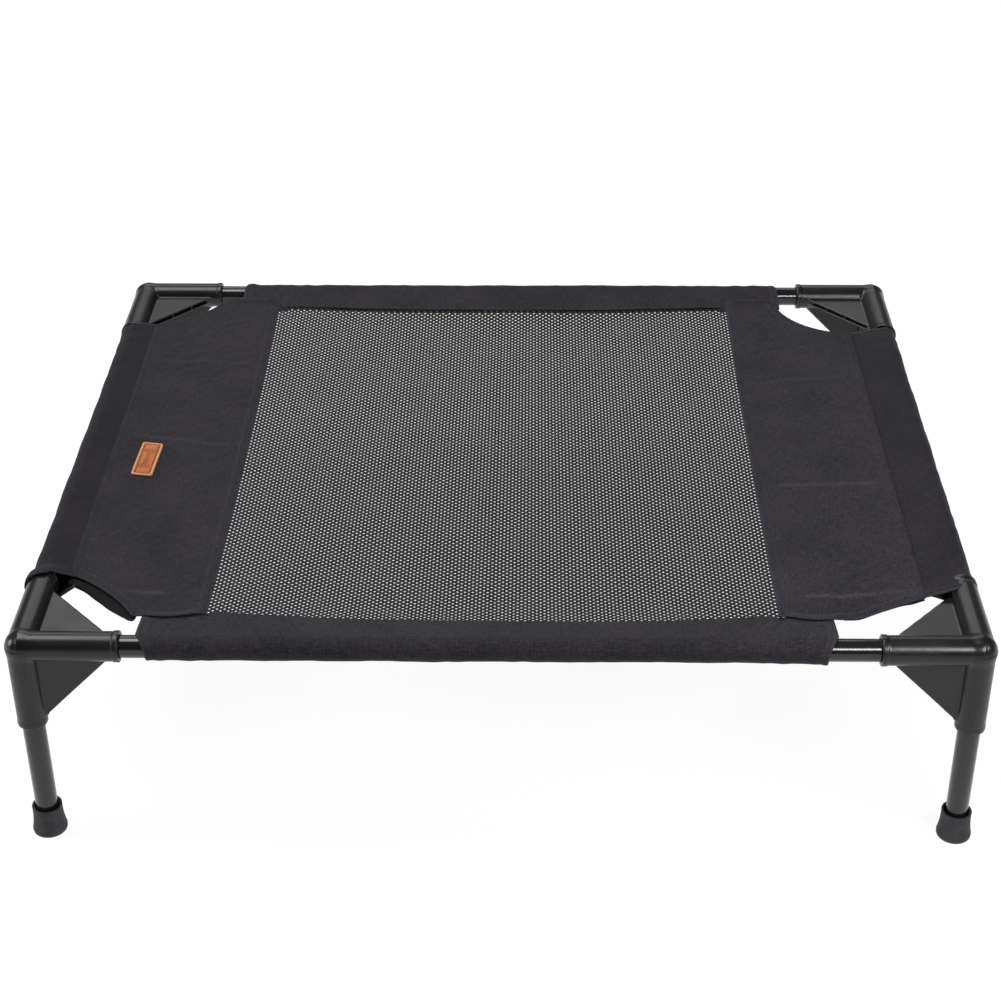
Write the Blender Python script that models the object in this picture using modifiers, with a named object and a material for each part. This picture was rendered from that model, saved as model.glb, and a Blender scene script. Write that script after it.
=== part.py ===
"""Raised pet cot: a tube frame in moulded corner connectors, pull-off legs and a sewn cloth sling.

Metres, +Z up. The origin is on the floor at the centre of the footprint, +X along the long side
and +Y towards the back.
"""

import math

import bmesh
import bpy
from mathutils import Matrix, Vector

# Overall size of the frame, over the lips of its connectors
FRAME_LENGTH = 0.762
FRAME_WIDTH = 0.624
FRAME_HEIGHT = 0.197

# Corner connectors
LIP_RADIUS = 0.0124
LIP_LENGTH = 0.0045
ARM_RADIUS = 0.0118
BALL_RADIUS = 0.0122
BORE_RADIUS = 0.0093
BORE_STOP = 0.016
REACH_X = 0.0765
REACH_Y = 0.0860
REACH_Z = 0.0735
WEB_THICKNESS = 0.0050
WEB_REACH_X = 0.0665
WEB_REACH_Y = 0.0710
WEB_REACH_Z = 0.0675
BEAD_THICKNESS = 0.0066
BEAD_WIDTH = 0.0035

# Tubes and feet
TUBE_RADIUS = 0.0090
TUBE_WALL = 0.0010
FOOT_HEIGHT = 0.0250
FOOT_TOP_RADIUS = 0.0118
FOOT_WAIST_RADIUS = 0.0122
FOOT_BASE_RADIUS = 0.0146
FOOT_FLOOR = 0.0050

# Sling
FABRIC = 0.0009
SEAM_LEFT = -0.348
SEAM_RIGHT = 0.336
SEAM_FRONT = -0.276
SEAM_BACK = 0.276
SEAM_HEIGHT = 0.190
SAG = 0.014
MESH_LEFT = -0.2293
MESH_RIGHT = 0.2173
SIDE_SLEEVE_END = 0.211
FRONT_SLEEVE = (-0.280, 0.260)
BACK_SLEEVE = (-0.268, 0.272)
FACING_DEPTH = 0.0075
PATCH_CENTRE = (-0.315, -0.029)
PATCH_SIZE = (0.0185, 0.054)
PATCH_THICKNESS = 0.0014

# Corner cut-outs of the sling: depth along X, depth along Y and roundness of each curve
CUTS = {
    "front_left": (0.063, 0.064, 1.35),
    "front_right": (0.068, 0.038, 1.10),
    "back_left": (0.062, 0.052, 1.35),
    "back_right": (0.069, 0.066, 1.80),
}

GAP = 0.0003
MERGE = 0.00002
STEPS = 20

# Worked out
AXIS_X = FRAME_LENGTH / 2 - LIP_RADIUS
AXIS_Y = FRAME_WIDTH / 2 - LIP_RADIUS
AXIS_Z = FRAME_HEIGHT - LIP_RADIUS
TUBE_INSET = BORE_STOP + GAP
SLEEVE_RADIUS = TUBE_RADIUS + GAP + FABRIC / 2
CORNERS = {
    "front_left": (-1, -1),
    "front_right": (1, -1),
    "back_left": (-1, 1),
    "back_right": (1, 1),
}


def clear_scene():
    for old in list(bpy.data.objects):
        bpy.data.objects.remove(old, do_unlink=True)


def new_collection(name):
    collection = bpy.data.collections.new(name)
    bpy.context.scene.collection.children.link(collection)
    return collection


def new_material(name, colour, roughness, metallic=0.0):
    material = bpy.data.materials.new(name)
    material.use_nodes = True
    shader = material.node_tree.nodes["Principled BSDF"]
    shader.inputs["Base Color"].default_value = (*colour, 1.0)
    shader.inputs["Roughness"].default_value = roughness
    shader.inputs["Metallic"].default_value = metallic
    return material


def new_object(name, mesh, collection, material=None):
    thing = bpy.data.objects.new(name, mesh)
    collection.objects.link(thing)
    if material is not None:
        mesh.materials.clear()
        mesh.materials.append(material)
    return thing


def evaluated_mesh(thing, name):
    """The object's mesh with its modifiers applied, welded, in the object's own axes."""
    depsgraph = bpy.context.evaluated_depsgraph_get()
    mesh = bpy.data.meshes.new_from_object(thing.evaluated_get(depsgraph))
    mesh.name = name
    work = bmesh.new()
    work.from_mesh(mesh)
    bmesh.ops.remove_doubles(work, verts=work.verts, dist=MERGE)
    bmesh.ops.recalc_face_normals(work, faces=work.faces)
    work.to_mesh(mesh)
    work.free()
    return mesh


def round_off(mesh, degrees=35):
    mesh.shade_smooth()
    mesh.set_sharp_from_angle(angle=math.radians(degrees))


def turned_mesh(name, profile, closed=False):
    """A solid turned about Z from (radius, height) points that run down the outer side."""
    mesh = bpy.data.meshes.new(name)
    edges = [(i, i + 1) for i in range(len(profile) - 1)]
    if closed:
        edges.append((len(profile) - 1, 0))
    mesh.from_pydata([(radius, 0.0, height) for radius, height in profile], edges, [])
    blank = new_object(name, mesh, workshop)
    screw = blank.modifiers.new("turn", "SCREW")
    screw.steps = STEPS
    screw.render_steps = STEPS
    screw.use_merge_vertices = True
    screw.merge_threshold = MERGE
    solid = evaluated_mesh(blank, name)
    bpy.data.objects.remove(blank, do_unlink=True)
    return solid


def plate_mesh(name, outline, thickness):
    """A flat plate of that outline, with its middle plane at z = 0."""
    curve = bpy.data.curves.new(name, "CURVE")
    curve.dimensions = "2D"
    curve.fill_mode = "BOTH"
    curve.extrude = thickness / 2
    spline = curve.splines.new("POLY")
    spline.points.add(len(outline) - 1)
    for point, (u, v) in zip(spline.points, outline):
        point.co = (u, v, 0.0, 1.0)
    spline.use_cyclic_u = True
    blank = new_object(name, curve, workshop)
    solid = evaluated_mesh(blank, name)
    bpy.data.objects.remove(blank, do_unlink=True)
    return solid


def cutter(name, mesh, matrix, collection):
    """A hidden operand of the connector's Booleans."""
    thing = new_object(name, mesh, collection)
    thing.matrix_world = matrix
    thing.display_type = "WIRE"
    thing.hide_render = True
    return thing


def axis_frame(along, across):
    """A rotation that takes local +Z to one direction and local +X to another."""
    z = Vector(along)
    x = Vector(across)
    return Matrix((x, z.cross(x), z)).transposed().to_4x4()


def socket_mesh(name, reach):
    """One arm of a connector, pointing down, with its thicker lip at the mouth."""
    return turned_mesh(name, [
        (0.0, 0.0),
        (ARM_RADIUS, 0.0),
        (ARM_RADIUS, -reach + LIP_LENGTH),
        (LIP_RADIUS, -reach + LIP_LENGTH - 0.0012),
        (LIP_RADIUS, -reach + 0.0006),
        (LIP_RADIUS - 0.0006, -reach),
        (0.0, -reach),
    ])


def bore_mesh(name, reach):
    depth = reach + 0.005
    return turned_mesh(name, [(0.0, -BORE_STOP), (BORE_RADIUS, -BORE_STOP), (BORE_RADIUS, -depth), (0.0, -depth)])


def web_outline(reach_u, reach_v):
    edge = 0.9 * ARM_RADIUS
    return [(0.0, 0.0), (reach_u, 0.0), (reach_u, edge), (edge, reach_v), (0.0, reach_v)]


def bead_outline(reach_u, reach_v):
    """A strip along the web's free edge, with its ends inside the two arms."""
    edge = 0.9 * ARM_RADIUS
    start = Vector((reach_u, edge))
    end = Vector((edge, reach_v))
    along = (end - start).normalized()
    inward = Vector((-along.y, along.x)) * BEAD_WIDTH
    start -= along * 0.003
    end += along * 0.003
    return [start, end, end + inward, start + inward]


def connector_mesh():
    """The connector of the back right corner: arms along -X, -Y and -Z from its centre."""
    added = new_collection("connector_added")
    cut = new_collection("connector_cut")
    arms = {
        "x": (REACH_X, axis_frame((1, 0, 0), (0, 1, 0))),
        "y": (REACH_Y, axis_frame((0, 1, 0), (0, 0, 1))),
        "z": (REACH_Z, Matrix.Identity(4)),
    }
    for key, (reach, matrix) in arms.items():
        cutter("arm_" + key, socket_mesh("arm_" + key, reach), matrix, added)
        cutter("bore_" + key, bore_mesh("bore_" + key, reach), matrix, cut)
    webs = {
        "xy": (WEB_REACH_X, WEB_REACH_Y, axis_frame((0, 0, 1), (-1, 0, 0))),
        "zx": (WEB_REACH_Z, WEB_REACH_X, axis_frame((0, 1, 0), (0, 0, -1))),
        "yz": (WEB_REACH_Y, WEB_REACH_Z, axis_frame((1, 0, 0), (0, -1, 0))),
    }
    for key, (reach_u, reach_v, matrix) in webs.items():
        web = plate_mesh("web_" + key, web_outline(reach_u, reach_v), WEB_THICKNESS)
        bead = plate_mesh("bead_" + key, bead_outline(reach_u, reach_v), BEAD_THICKNESS)
        cutter("web_" + key, web, matrix, added)
        cutter("bead_" + key, bead, matrix, added)
    bpy.ops.mesh.primitive_uv_sphere_add(segments=STEPS, ring_count=STEPS // 2, radius=BALL_RADIUS)
    ball = bpy.context.object
    for kind, collection in (("UNION", added), ("DIFFERENCE", cut)):
        boolean = ball.modifiers.new(kind.lower(), "BOOLEAN")
        boolean.operation = kind
        boolean.operand_type = "COLLECTION"
        boolean.collection = collection
        boolean.solver = "EXACT"
    mesh = evaluated_mesh(ball, "corner_connector")
    bpy.data.objects.remove(ball, do_unlink=True)
    for thing in list(added.objects) + list(cut.objects):
        bpy.data.objects.remove(thing, do_unlink=True)
    round_off(mesh)
    return mesh


def mirrored(mesh, name):
    copy = mesh.copy()
    copy.name = name
    copy.transform(Matrix.Scale(-1.0, 4, (1, 0, 0)))
    copy.flip_normals()
    return copy


def add_connectors():
    """Two right-hand and two left-hand mouldings, each turned into its corner."""
    right = connector_mesh()
    left = mirrored(right, "corner_connector_mirrored")
    for corner, (side, end) in CORNERS.items():
        mesh = right if side == end else left
        thing = new_object("corner_connector_" + corner, mesh, cot, plastic)
        thing.location = (side * AXIS_X, end * AXIS_Y, AXIS_Z)
        thing.rotation_euler = (0.0, 0.0, 0.0 if end > 0 else math.pi)


def tube_mesh(name, length):
    """A tube centred on the origin, along Z, open at both ends."""
    inner = TUBE_RADIUS - TUBE_WALL
    half = length / 2
    profile = [(TUBE_RADIUS, half), (TUBE_RADIUS, -half), (inner, -half), (inner, half)]
    mesh = turned_mesh(name, profile, closed=True)
    round_off(mesh)
    return mesh


def add_rails():
    long_rail = tube_mesh("long_rail", 2 * (AXIS_X - TUBE_INSET))
    short_rail = tube_mesh("short_rail", 2 * (AXIS_Y - TUBE_INSET))
    for name, end in (("rail_front", -1), ("rail_back", 1)):
        rail = new_object(name, long_rail, cot, powder_coat)
        rail.location = (0.0, end * AXIS_Y, AXIS_Z)
        rail.rotation_euler = (0.0, math.pi / 2, 0.0)
    for name, side in (("rail_left", -1), ("rail_right", 1)):
        rail = new_object(name, short_rail, cot, powder_coat)
        rail.location = (side * AXIS_X, 0.0, AXIS_Z)
        rail.rotation_euler = (math.pi / 2, 0.0, 0.0)


def foot_mesh():
    """A flared rubber boot: a blind bore for the leg, and a solid floor under it."""
    profile = [
        (0.0, FOOT_FLOOR),
        (BORE_RADIUS, FOOT_FLOOR),
        (BORE_RADIUS, FOOT_HEIGHT),
        (FOOT_TOP_RADIUS, FOOT_HEIGHT),
        (FOOT_WAIST_RADIUS, 0.55 * FOOT_HEIGHT),
        (FOOT_BASE_RADIUS - 0.0006, 0.0050),
        (FOOT_BASE_RADIUS, 0.0030),
        (FOOT_BASE_RADIUS - 0.0004, 0.0),
        (0.0, 0.0),
    ]
    mesh = turned_mesh("rubber_foot", profile)
    round_off(mesh)
    return mesh


def add_legs():
    """Each leg is a tube and its boot, under an empty on the axis along which the leg pulls out."""
    top = AXIS_Z - TUBE_INSET
    bottom = FOOT_FLOOR + GAP
    tube = tube_mesh("leg_tube", top - bottom)
    foot = foot_mesh()
    for corner, (side, end) in CORNERS.items():
        axis = bpy.data.objects.new("leg_axis_" + corner, None)
        cot.objects.link(axis)
        axis.location = (side * AXIS_X, end * AXIS_Y, AXIS_Z)
        leg = new_object("leg_tube_" + corner, tube, cot, powder_coat)
        leg.parent = axis
        leg.location = (0.0, 0.0, (top + bottom) / 2 - AXIS_Z)
        boot = new_object("rubber_foot_" + corner, foot, cot, rubber)
        boot.parent = axis
        boot.location = (0.0, 0.0, -AXIS_Z)


def sling_height(x, y):
    """The sling hangs level with its seams at the rails and lowest in the middle."""
    mid = (SEAM_LEFT + SEAM_RIGHT) / 2
    half = (SEAM_RIGHT - SEAM_LEFT) / 2
    along = 1 - ((x - mid) / half) ** 2
    across = 1 - (y / SEAM_BACK) ** 2
    return SEAM_HEIGHT - SAG * max(along, 0.0) * max(across, 0.0)


def cut_depth(x, corner):
    """How far the corner's curve stands in from the front or back seam at that x."""
    deep_x, deep_y, power = CUTS[corner]
    seam = SEAM_LEFT if corner.endswith("left") else SEAM_RIGHT
    share = min(abs(x - seam) / deep_x, 1.0)
    return deep_y * (1 - share ** power) ** (1 / power)


def panel_edges(x, side):
    front = SEAM_FRONT + cut_depth(x, "front_" + side)
    back = SEAM_BACK - cut_depth(x, "back_" + side)
    return front, back


def cloth(name, columns, rows, place, material, thickness=FABRIC, offset=0.0):
    """A grid whose points go where place(u, v) says, given its thickness by Solidify."""
    grid = bmesh.new()
    bmesh.ops.create_grid(grid, x_segments=columns, y_segments=rows, size=0.5)
    for vert in grid.verts:
        vert.co = place(vert.co.x + 0.5, vert.co.y + 0.5)
    mesh = bpy.data.meshes.new(name)
    grid.to_mesh(mesh)
    grid.free()
    mesh.shade_smooth()
    sheet = new_object(name, mesh, cot, material)
    solid = sheet.modifiers.new("thickness", "SOLIDIFY")
    solid.thickness = thickness
    solid.offset = offset
    return sheet


def add_panels():
    for side, outer, inner in (("left", SEAM_LEFT + GAP, MESH_LEFT - GAP), ("right", SEAM_RIGHT - GAP, MESH_RIGHT + GAP)):
        low, high = sorted((outer, inner))

        def place(u, v):
            """Columns crowd towards the seam, where the corner curves turn fastest."""
            share = u ** 1.4 if side == "left" else 1 - (1 - u) ** 1.4
            x = low + share * (high - low)
            front, back = panel_edges(x, side)
            y = front + GAP + v * (back - front - 2 * GAP)
            return x, y, sling_height(x, y)

        cloth(side + "_panel", 14, 12, place, oxford)

    def place_mesh(u, v):
        x = MESH_LEFT + u * (MESH_RIGHT - MESH_LEFT)
        y = SEAM_FRONT + GAP + v * (SEAM_BACK - SEAM_FRONT - 2 * GAP)
        return x, y, sling_height(x, y)

    cloth("mesh_panel", 14, 12, place_mesh, open_mesh)


def sleeve_path(reach):
    """The sleeve's section, (inboard, up) from the rail's axis: seam, over the rail, back to the seam."""
    rise = SEAM_HEIGHT - AXIS_Z
    far = math.hypot(reach, rise)
    toward = math.atan2(rise, reach)
    spread = math.acos(SLEEVE_RADIUS / far)
    start = toward + spread
    end = toward - spread + 2 * math.pi
    arc_steps = 16
    points = [(reach, rise)]
    for i in range(arc_steps + 1):
        angle = start + (end - start) * i / arc_steps
        points.append((SLEEVE_RADIUS * math.cos(angle), SLEEVE_RADIUS * math.sin(angle)))
    points.append((reach, rise - FABRIC - GAP))
    return points


def add_sleeves():
    """A strip of cloth folded round each rail, from seam to seam."""
    sides = {
        "front_sleeve": (Vector((0, -AXIS_Y, AXIS_Z)), Vector((0, 1, 0)), SEAM_FRONT + AXIS_Y, FRONT_SLEEVE),
        "back_sleeve": (Vector((0, AXIS_Y, AXIS_Z)), Vector((0, -1, 0)), AXIS_Y - SEAM_BACK, BACK_SLEEVE),
        "left_sleeve": (Vector((-AXIS_X, 0, AXIS_Z)), Vector((1, 0, 0)), SEAM_LEFT + AXIS_X,
                        (-SIDE_SLEEVE_END, SIDE_SLEEVE_END)),
        "right_sleeve": (Vector((AXIS_X, 0, AXIS_Z)), Vector((-1, 0, 0)), AXIS_X - SEAM_RIGHT,
                         (-SIDE_SLEEVE_END, SIDE_SLEEVE_END)),
    }
    for name, (axis, inboard, reach, (low, high)) in sides.items():
        path = sleeve_path(reach)
        along = Vector((0, 0, 1)).cross(inboard)
        if along.x + along.y < 0:
            along = -along

        def place(u, v):
            across, up = path[round(u * (len(path) - 1))]
            return axis + inboard * across + Vector((0, 0, up)) + along * (low + v * (high - low))

        sleeve = cloth(name, len(path) - 1, 1, place, oxford)
        if inboard.cross(Vector((0, 0, 1))).dot(along) > 0:
            sleeve.data.flip_normals()


def add_facings():
    """The strip that backs each corner curve and hangs below its edge."""
    for corner in CORNERS:
        end, side = corner.split("_")
        deep_x = CUTS[corner][0]
        seam = SEAM_LEFT if side == "left" else SEAM_RIGHT
        inward = 1 if side == "left" else -1
        front = end == "front"

        def place(u, v):
            """Set back from the panel's edge by two cloths, and hanging from just under it."""
            x = seam + inward * (0.04 + 0.92 * u) * deep_x
            depth = cut_depth(x, corner) + 2 * FABRIC
            y = SEAM_FRONT + depth if front else SEAM_BACK - depth
            drop = FABRIC + GAP + v * FACING_DEPTH * math.sin(math.pi * (0.12 + 0.76 * u))
            return x, y, sling_height(x, y) - drop

        cloth("corner_facing_" + corner, 10, 1, place, facing)


def add_patch():
    """A stitched leather label with rounded ends, lying on the left panel."""
    def place(u, v):
        width, length = PATCH_SIZE
        along = 2 * v - 1
        across = 2 * u - 1
        pull = 1 - 0.12 * abs(along) ** 8
        x = PATCH_CENTRE[0] + across * width / 2 * pull
        y = PATCH_CENTRE[1] + along * length / 2
        lift = FABRIC / 2 + GAP + PATCH_THICKNESS / 2
        return x, y, sling_height(x, y) + lift

    cloth("leather_patch", 4, 12, place, leather, PATCH_THICKNESS)


clear_scene()
cot = new_collection("raised_pet_cot")
workshop = new_collection("workshop")
plastic = new_material("black_moulded_plastic", (0.030, 0.030, 0.034), 0.42)
powder_coat = new_material("black_powder_coat", (0.020, 0.020, 0.022), 0.25)
rubber = new_material("black_rubber", (0.024, 0.024, 0.026), 0.70)
oxford = new_material("black_oxford_cloth", (0.022, 0.021, 0.025), 0.80)
open_mesh = new_material("black_open_mesh", (0.030, 0.030, 0.033), 0.60)
facing = new_material("black_facing_cloth", (0.010, 0.010, 0.011), 0.75)
leather = new_material("tan_leather", (0.480, 0.210, 0.095), 0.55)

add_connectors()
add_rails()
add_legs()
add_panels()
add_sleeves()
add_facings()
add_patch()
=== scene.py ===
import math

import bpy
import numpy as np
from mathutils import Matrix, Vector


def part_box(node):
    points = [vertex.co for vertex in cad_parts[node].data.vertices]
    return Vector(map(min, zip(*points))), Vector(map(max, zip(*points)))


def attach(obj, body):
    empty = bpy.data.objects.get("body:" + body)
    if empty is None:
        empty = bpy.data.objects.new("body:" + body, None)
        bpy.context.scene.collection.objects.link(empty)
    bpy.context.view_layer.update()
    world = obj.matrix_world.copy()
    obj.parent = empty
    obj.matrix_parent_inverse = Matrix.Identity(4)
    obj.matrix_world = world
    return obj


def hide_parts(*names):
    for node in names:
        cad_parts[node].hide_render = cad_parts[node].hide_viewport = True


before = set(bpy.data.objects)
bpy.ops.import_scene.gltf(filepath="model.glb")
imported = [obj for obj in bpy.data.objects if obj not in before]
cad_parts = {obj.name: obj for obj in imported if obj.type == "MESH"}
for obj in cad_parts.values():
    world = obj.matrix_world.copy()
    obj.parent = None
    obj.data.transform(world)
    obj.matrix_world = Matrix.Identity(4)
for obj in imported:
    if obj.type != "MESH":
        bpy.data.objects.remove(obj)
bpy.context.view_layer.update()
print("frame loaded")

# Metres, Z up, the same frame as the CAD. Rail axes, tube size and seams are read from the nodes' boxes.

millimetre = 0.001
gap = 0.0003
ends = {"front": -1, "back": 1}
sides = {"left": -1, "right": 1}


def boxMiddle(node):
    low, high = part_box(node)
    return (low + high) / 2


axisX = boxMiddle("rail_right").x
axisY = boxMiddle("rail_back").y
axisZ = boxMiddle("rail_back").z
tubeRadius = (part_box("rail_back")[1].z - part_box("rail_back")[0].z) / 2
seamX = {"left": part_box("left_panel")[0].x - gap, "right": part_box("right_panel")[1].x + gap}
meshEdge = {"left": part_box("mesh_panel")[0].x, "right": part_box("mesh_panel")[1].x}
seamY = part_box("mesh_panel")[1].y + gap


# Rises from 0 at low to 1 at high, with level ends
def smoothStep(low, high, value):
    share = np.clip((value - low) / (high - low), 0.0, 1.0)
    return share * share * (3 - 2 * share)


# A smooth uneven surface, about -1 to 1: six sine waves of about that size in directions drawn from the seed
def wander(x, y, size, seed):
    draw = np.random.default_rng(seed)
    total = 0.0
    for _ in range(6):
        turn = draw.uniform(0, 2 * np.pi)
        wave = size * draw.uniform(0.7, 1.6)
        across = x * np.cos(turn) + y * np.sin(turn)
        total = total + np.sin(2 * np.pi * across / wave + draw.uniform(0, 6.3))
    return total / 3


# Quads of a grid of points; the side they face is (along a row) x (from row to row)
def gridFaces(rows, columns, closeRows=False, closeColumns=False):
    row = np.arange(rows if closeRows else rows - 1)[:, None]
    column = np.arange(columns if closeColumns else columns - 1)[None, :]
    nextRow = (row + 1) % rows
    nextColumn = (column + 1) % columns
    corners = (row * columns + column, row * columns + nextColumn,
               nextRow * columns + nextColumn, nextRow * columns + column)
    return np.stack(corners, axis=-1).reshape(-1, 4)


# A new object from points and one or more arrays of quads or triangles, with its UV map and attributes
def makePiece(name, points, faceSets, material, uv=None, attributes=None):
    mesh = bpy.data.meshes.new(name)
    starts, used = [], 0
    for faces in faceSets:
        starts.append(used + np.arange(len(faces)) * faces.shape[1])
        used += faces.size
    corners = np.concatenate([faces.ravel() for faces in faceSets]).astype(np.int32)
    mesh.vertices.add(len(points))
    mesh.vertices.foreach_set("co", np.asarray(points, dtype=np.float32).ravel())
    mesh.loops.add(len(corners))
    mesh.loops.foreach_set("vertex_index", corners)
    starts = np.concatenate(starts).astype(np.int32)
    mesh.polygons.add(len(starts))
    mesh.polygons.foreach_set("loop_start", starts)
    mesh.update(calc_edges=True)
    mesh.shade_smooth()
    if uv is not None:
        layer = mesh.uv_layers.new(name="cloth")
        layer.data.foreach_set("uv", np.asarray(uv, dtype=np.float32)[corners].ravel())
    for key, values in (attributes or {}).items():
        layer = mesh.attributes.new(key, "FLOAT", "POINT")
        layer.data.foreach_set("value", np.asarray(values, dtype=np.float32).ravel())
    mesh.validate()
    piece = bpy.data.objects.new(name, mesh)
    bpy.context.scene.collection.objects.link(piece)
    mesh.materials.append(material)
    return piece


# Rides the piece on its body, and hides the part that it replaces
def settlePiece(piece, body, node=None):
    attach(piece, body)
    if node:
        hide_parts(node)
    return piece


# Vectors made one long
def unit(vectors):
    return vectors / np.maximum(np.linalg.norm(vectors, axis=-1, keepdims=True), 1e-12)


# Directions at right angles to a grid surface: (along a row) x (from row to row)
def gridNormals(middle):
    return unit(np.cross(np.gradient(middle, axis=1), np.gradient(middle, axis=0)))


# Directions at right angles to a flat path, to its right
def crossways(path):
    ahead = unit(np.gradient(path, axis=0))
    return np.stack([ahead[:, 1], -ahead[:, 0]], axis=1)


# Faces of a closed sheet: an upper grid of points, a lower one turned over, and quads that join their borders
def closedFaces(rows, columns):
    count = rows * columns
    index = np.arange(count).reshape(rows, columns)
    rim = np.concatenate([index[0, :-1], index[:-1, -1], index[-1, :0:-1], index[:0:-1, 0]])
    after = np.roll(rim, -1)
    faces = gridFaces(rows, columns)
    border = np.stack([rim, rim + count, after + count, after], axis=1)
    return np.concatenate([faces, faces[:, ::-1] + count, border])


# A closed cloth: the middle surface moved out by half its thickness on each side, with its borders joined
def clothPiece(name, middle, thick, material, uv, lighterShare):
    normal = gridNormals(middle)
    upper = middle + normal * thick[..., None] / 2
    lower = middle - normal * thick[..., None] / 2
    points = np.concatenate([upper.reshape(-1, 3), lower.reshape(-1, 3)])
    doubled = np.concatenate([uv.reshape(-1, 2)] * 2)
    highlitAndWorn = np.concatenate([lighterShare.ravel()] * 2)
    return makePiece(name, points, [closedFaces(*middle.shape[:2])], material, doubled, {"lighterShare": highlitAndWorn})


# Half-round edge: full thickness from half a cloth in, and almost nothing at the edge itself
def roundedEdge(distance, thick):
    share = np.clip(distance / (thick / 2), 0.0, 1.0)
    return thick * np.sqrt(np.maximum(1 - (1 - share) ** 2, 0.0004))


closeShares = np.array([0.0, 0.12, 0.45])


# Places from low to high about a step apart, with three more close to each end for the rounded edge
def spacedOut(low, high, step, near=0.00045):
    count = max(int(math.ceil((high - low - 2 * near) / step)), 1)
    inner = np.linspace(low + near, high - near, count + 1)
    close = near * closeShares
    return np.concatenate([low + close, inner, high - close[::-1]])


# Shortest distance from each (x, y) to a line through the path's points
def distanceToPath(x, y, path):
    best = np.full(x.shape, np.inf)
    for start, end in zip(path[:-1], path[1:]):
        reach = end - start
        share = ((x - start[0]) * reach[0] + (y - start[1]) * reach[1]) / max(reach @ reach, 1e-16)
        share = np.clip(share, 0.0, 1.0)
        away = np.hypot(x - start[0] - share * reach[0], y - start[1] - share * reach[1])
        best = np.minimum(best, away)
    return best


# Points evenly spaced along a path of points, with the direction of the path at each
def walkAlong(path, spacing):
    steps = np.linalg.norm(np.diff(path, axis=0), axis=1)
    run = np.concatenate([[0.0], np.cumsum(steps)])
    places = np.arange(spacing / 2, run[-1], spacing)
    at = np.stack([np.interp(places, run, path[:, k]) for k in range(3)], axis=1)
    ahead = np.stack([np.interp(places + spacing / 4, run, path[:, k]) for k in range(3)], axis=1)
    return at, unit(ahead - at)


# Adds one node: its inputs are values or other nodes' outputs, its settings are its own properties
def addNode(tree, kind, inputs=None, **settings):
    node = tree.nodes.new(kind)
    for key, value in settings.items():
        setattr(node, key, value)
    for key, value in (inputs or {}).items():
        if isinstance(value, bpy.types.NodeSocket):
            tree.links.new(value, node.inputs[key])
        else:
            node.inputs[key].default_value = value
    return node


# sRGB hex to a linear colour
def linearColour(code):
    channels = [int(code[k:k + 2], 16) / 255 for k in (1, 3, 5)]
    linear = [c / 12.92 if c <= 0.04045 else ((c + 0.055) / 1.055) ** 2.4 for c in channels]
    return (*linear, 1.0)


# A material with its shader, whose constant values are set on its own sockets
def newMaterial(name, constants):
    material = bpy.data.materials.new(name)
    material.use_nodes = True
    tree = material.node_tree
    shader = tree.nodes["Principled BSDF"]
    for key, value in constants.items():
        shader.inputs[key].default_value = value
    return material, tree, shader


# Links a finish's colour, roughness and relief to its shader
def linkFinish(tree, shader, colour, gloss, bump):
    tree.links.new(colour, shader.inputs["Base Color"])
    tree.links.new(gloss.outputs["Result"], shader.inputs["Roughness"])
    tree.links.new(bump.outputs["Normal"], shader.inputs["Normal"])


# A colour ramp between two colours over part of its range
def setRamp(ramp, low, high, lowColour, highColour):
    ramp.color_ramp.elements[0].position = low
    ramp.color_ramp.elements[1].position = high
    ramp.color_ramp.elements[0].color = linearColour(lowColour)
    ramp.color_ramp.elements[1].color = linearColour(highColour)


# Places of a colour Mix node's sockets, whose names repeat those of its other types
mixFactor, mixFirst, mixSecond, mixResult = 0, 6, 7, 2

plasticLook = {
    "dark": "#0f0e10", "light": "#171618", "grain": 0.9 * millimetre, "flow": 0.030,
    "smooth": 0.27, "rough": 0.37, "relief": 0.00008}


# Injection-moulded nylon, spark-eroded tool: semi-gloss black with a fine grain and cloudy gloss
def mouldedNylon():
    material, tree, shader = newMaterial("moulded black nylon", {"IOR": 1.53, "Specular IOR Level": 0.36})
    place = addNode(tree, "ShaderNodeTexCoord").outputs["Object"]
    grain = addNode(tree, "ShaderNodeTexNoise", {
        "Vector": place, "Scale": 1 / plasticLook["grain"], "Detail": 3.0, "Roughness": 0.6})
    flow = addNode(tree, "ShaderNodeTexNoise", {
        "Vector": place, "Scale": 1 / plasticLook["flow"], "Detail": 4.0, "Roughness": 0.55})
    colour = addNode(tree, "ShaderNodeValToRGB", {"Fac": flow.outputs["Fac"]})
    setRamp(colour, 0.35, 0.7, plasticLook["dark"], plasticLook["light"])
    gloss = addNode(tree, "ShaderNodeMapRange", {
        "Value": flow.outputs["Fac"], "From Min": 0.3, "From Max": 0.7,
        "To Min": plasticLook["smooth"], "To Max": plasticLook["rough"]})
    bump = addNode(tree, "ShaderNodeBump", {
        "Height": grain.outputs["Fac"], "Strength": 0.35, "Distance": plasticLook["relief"]})
    linkFinish(tree, shader, colour.outputs["Color"], gloss, bump)
    return material


coatLook = {
    "dark": "#121214", "light": "#1a1a1c", "peel": 2.6 * millimetre, "speck": 0.5 * millimetre,
    "smooth": 0.13, "rough": 0.21, "relief": 0.00012}


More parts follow.
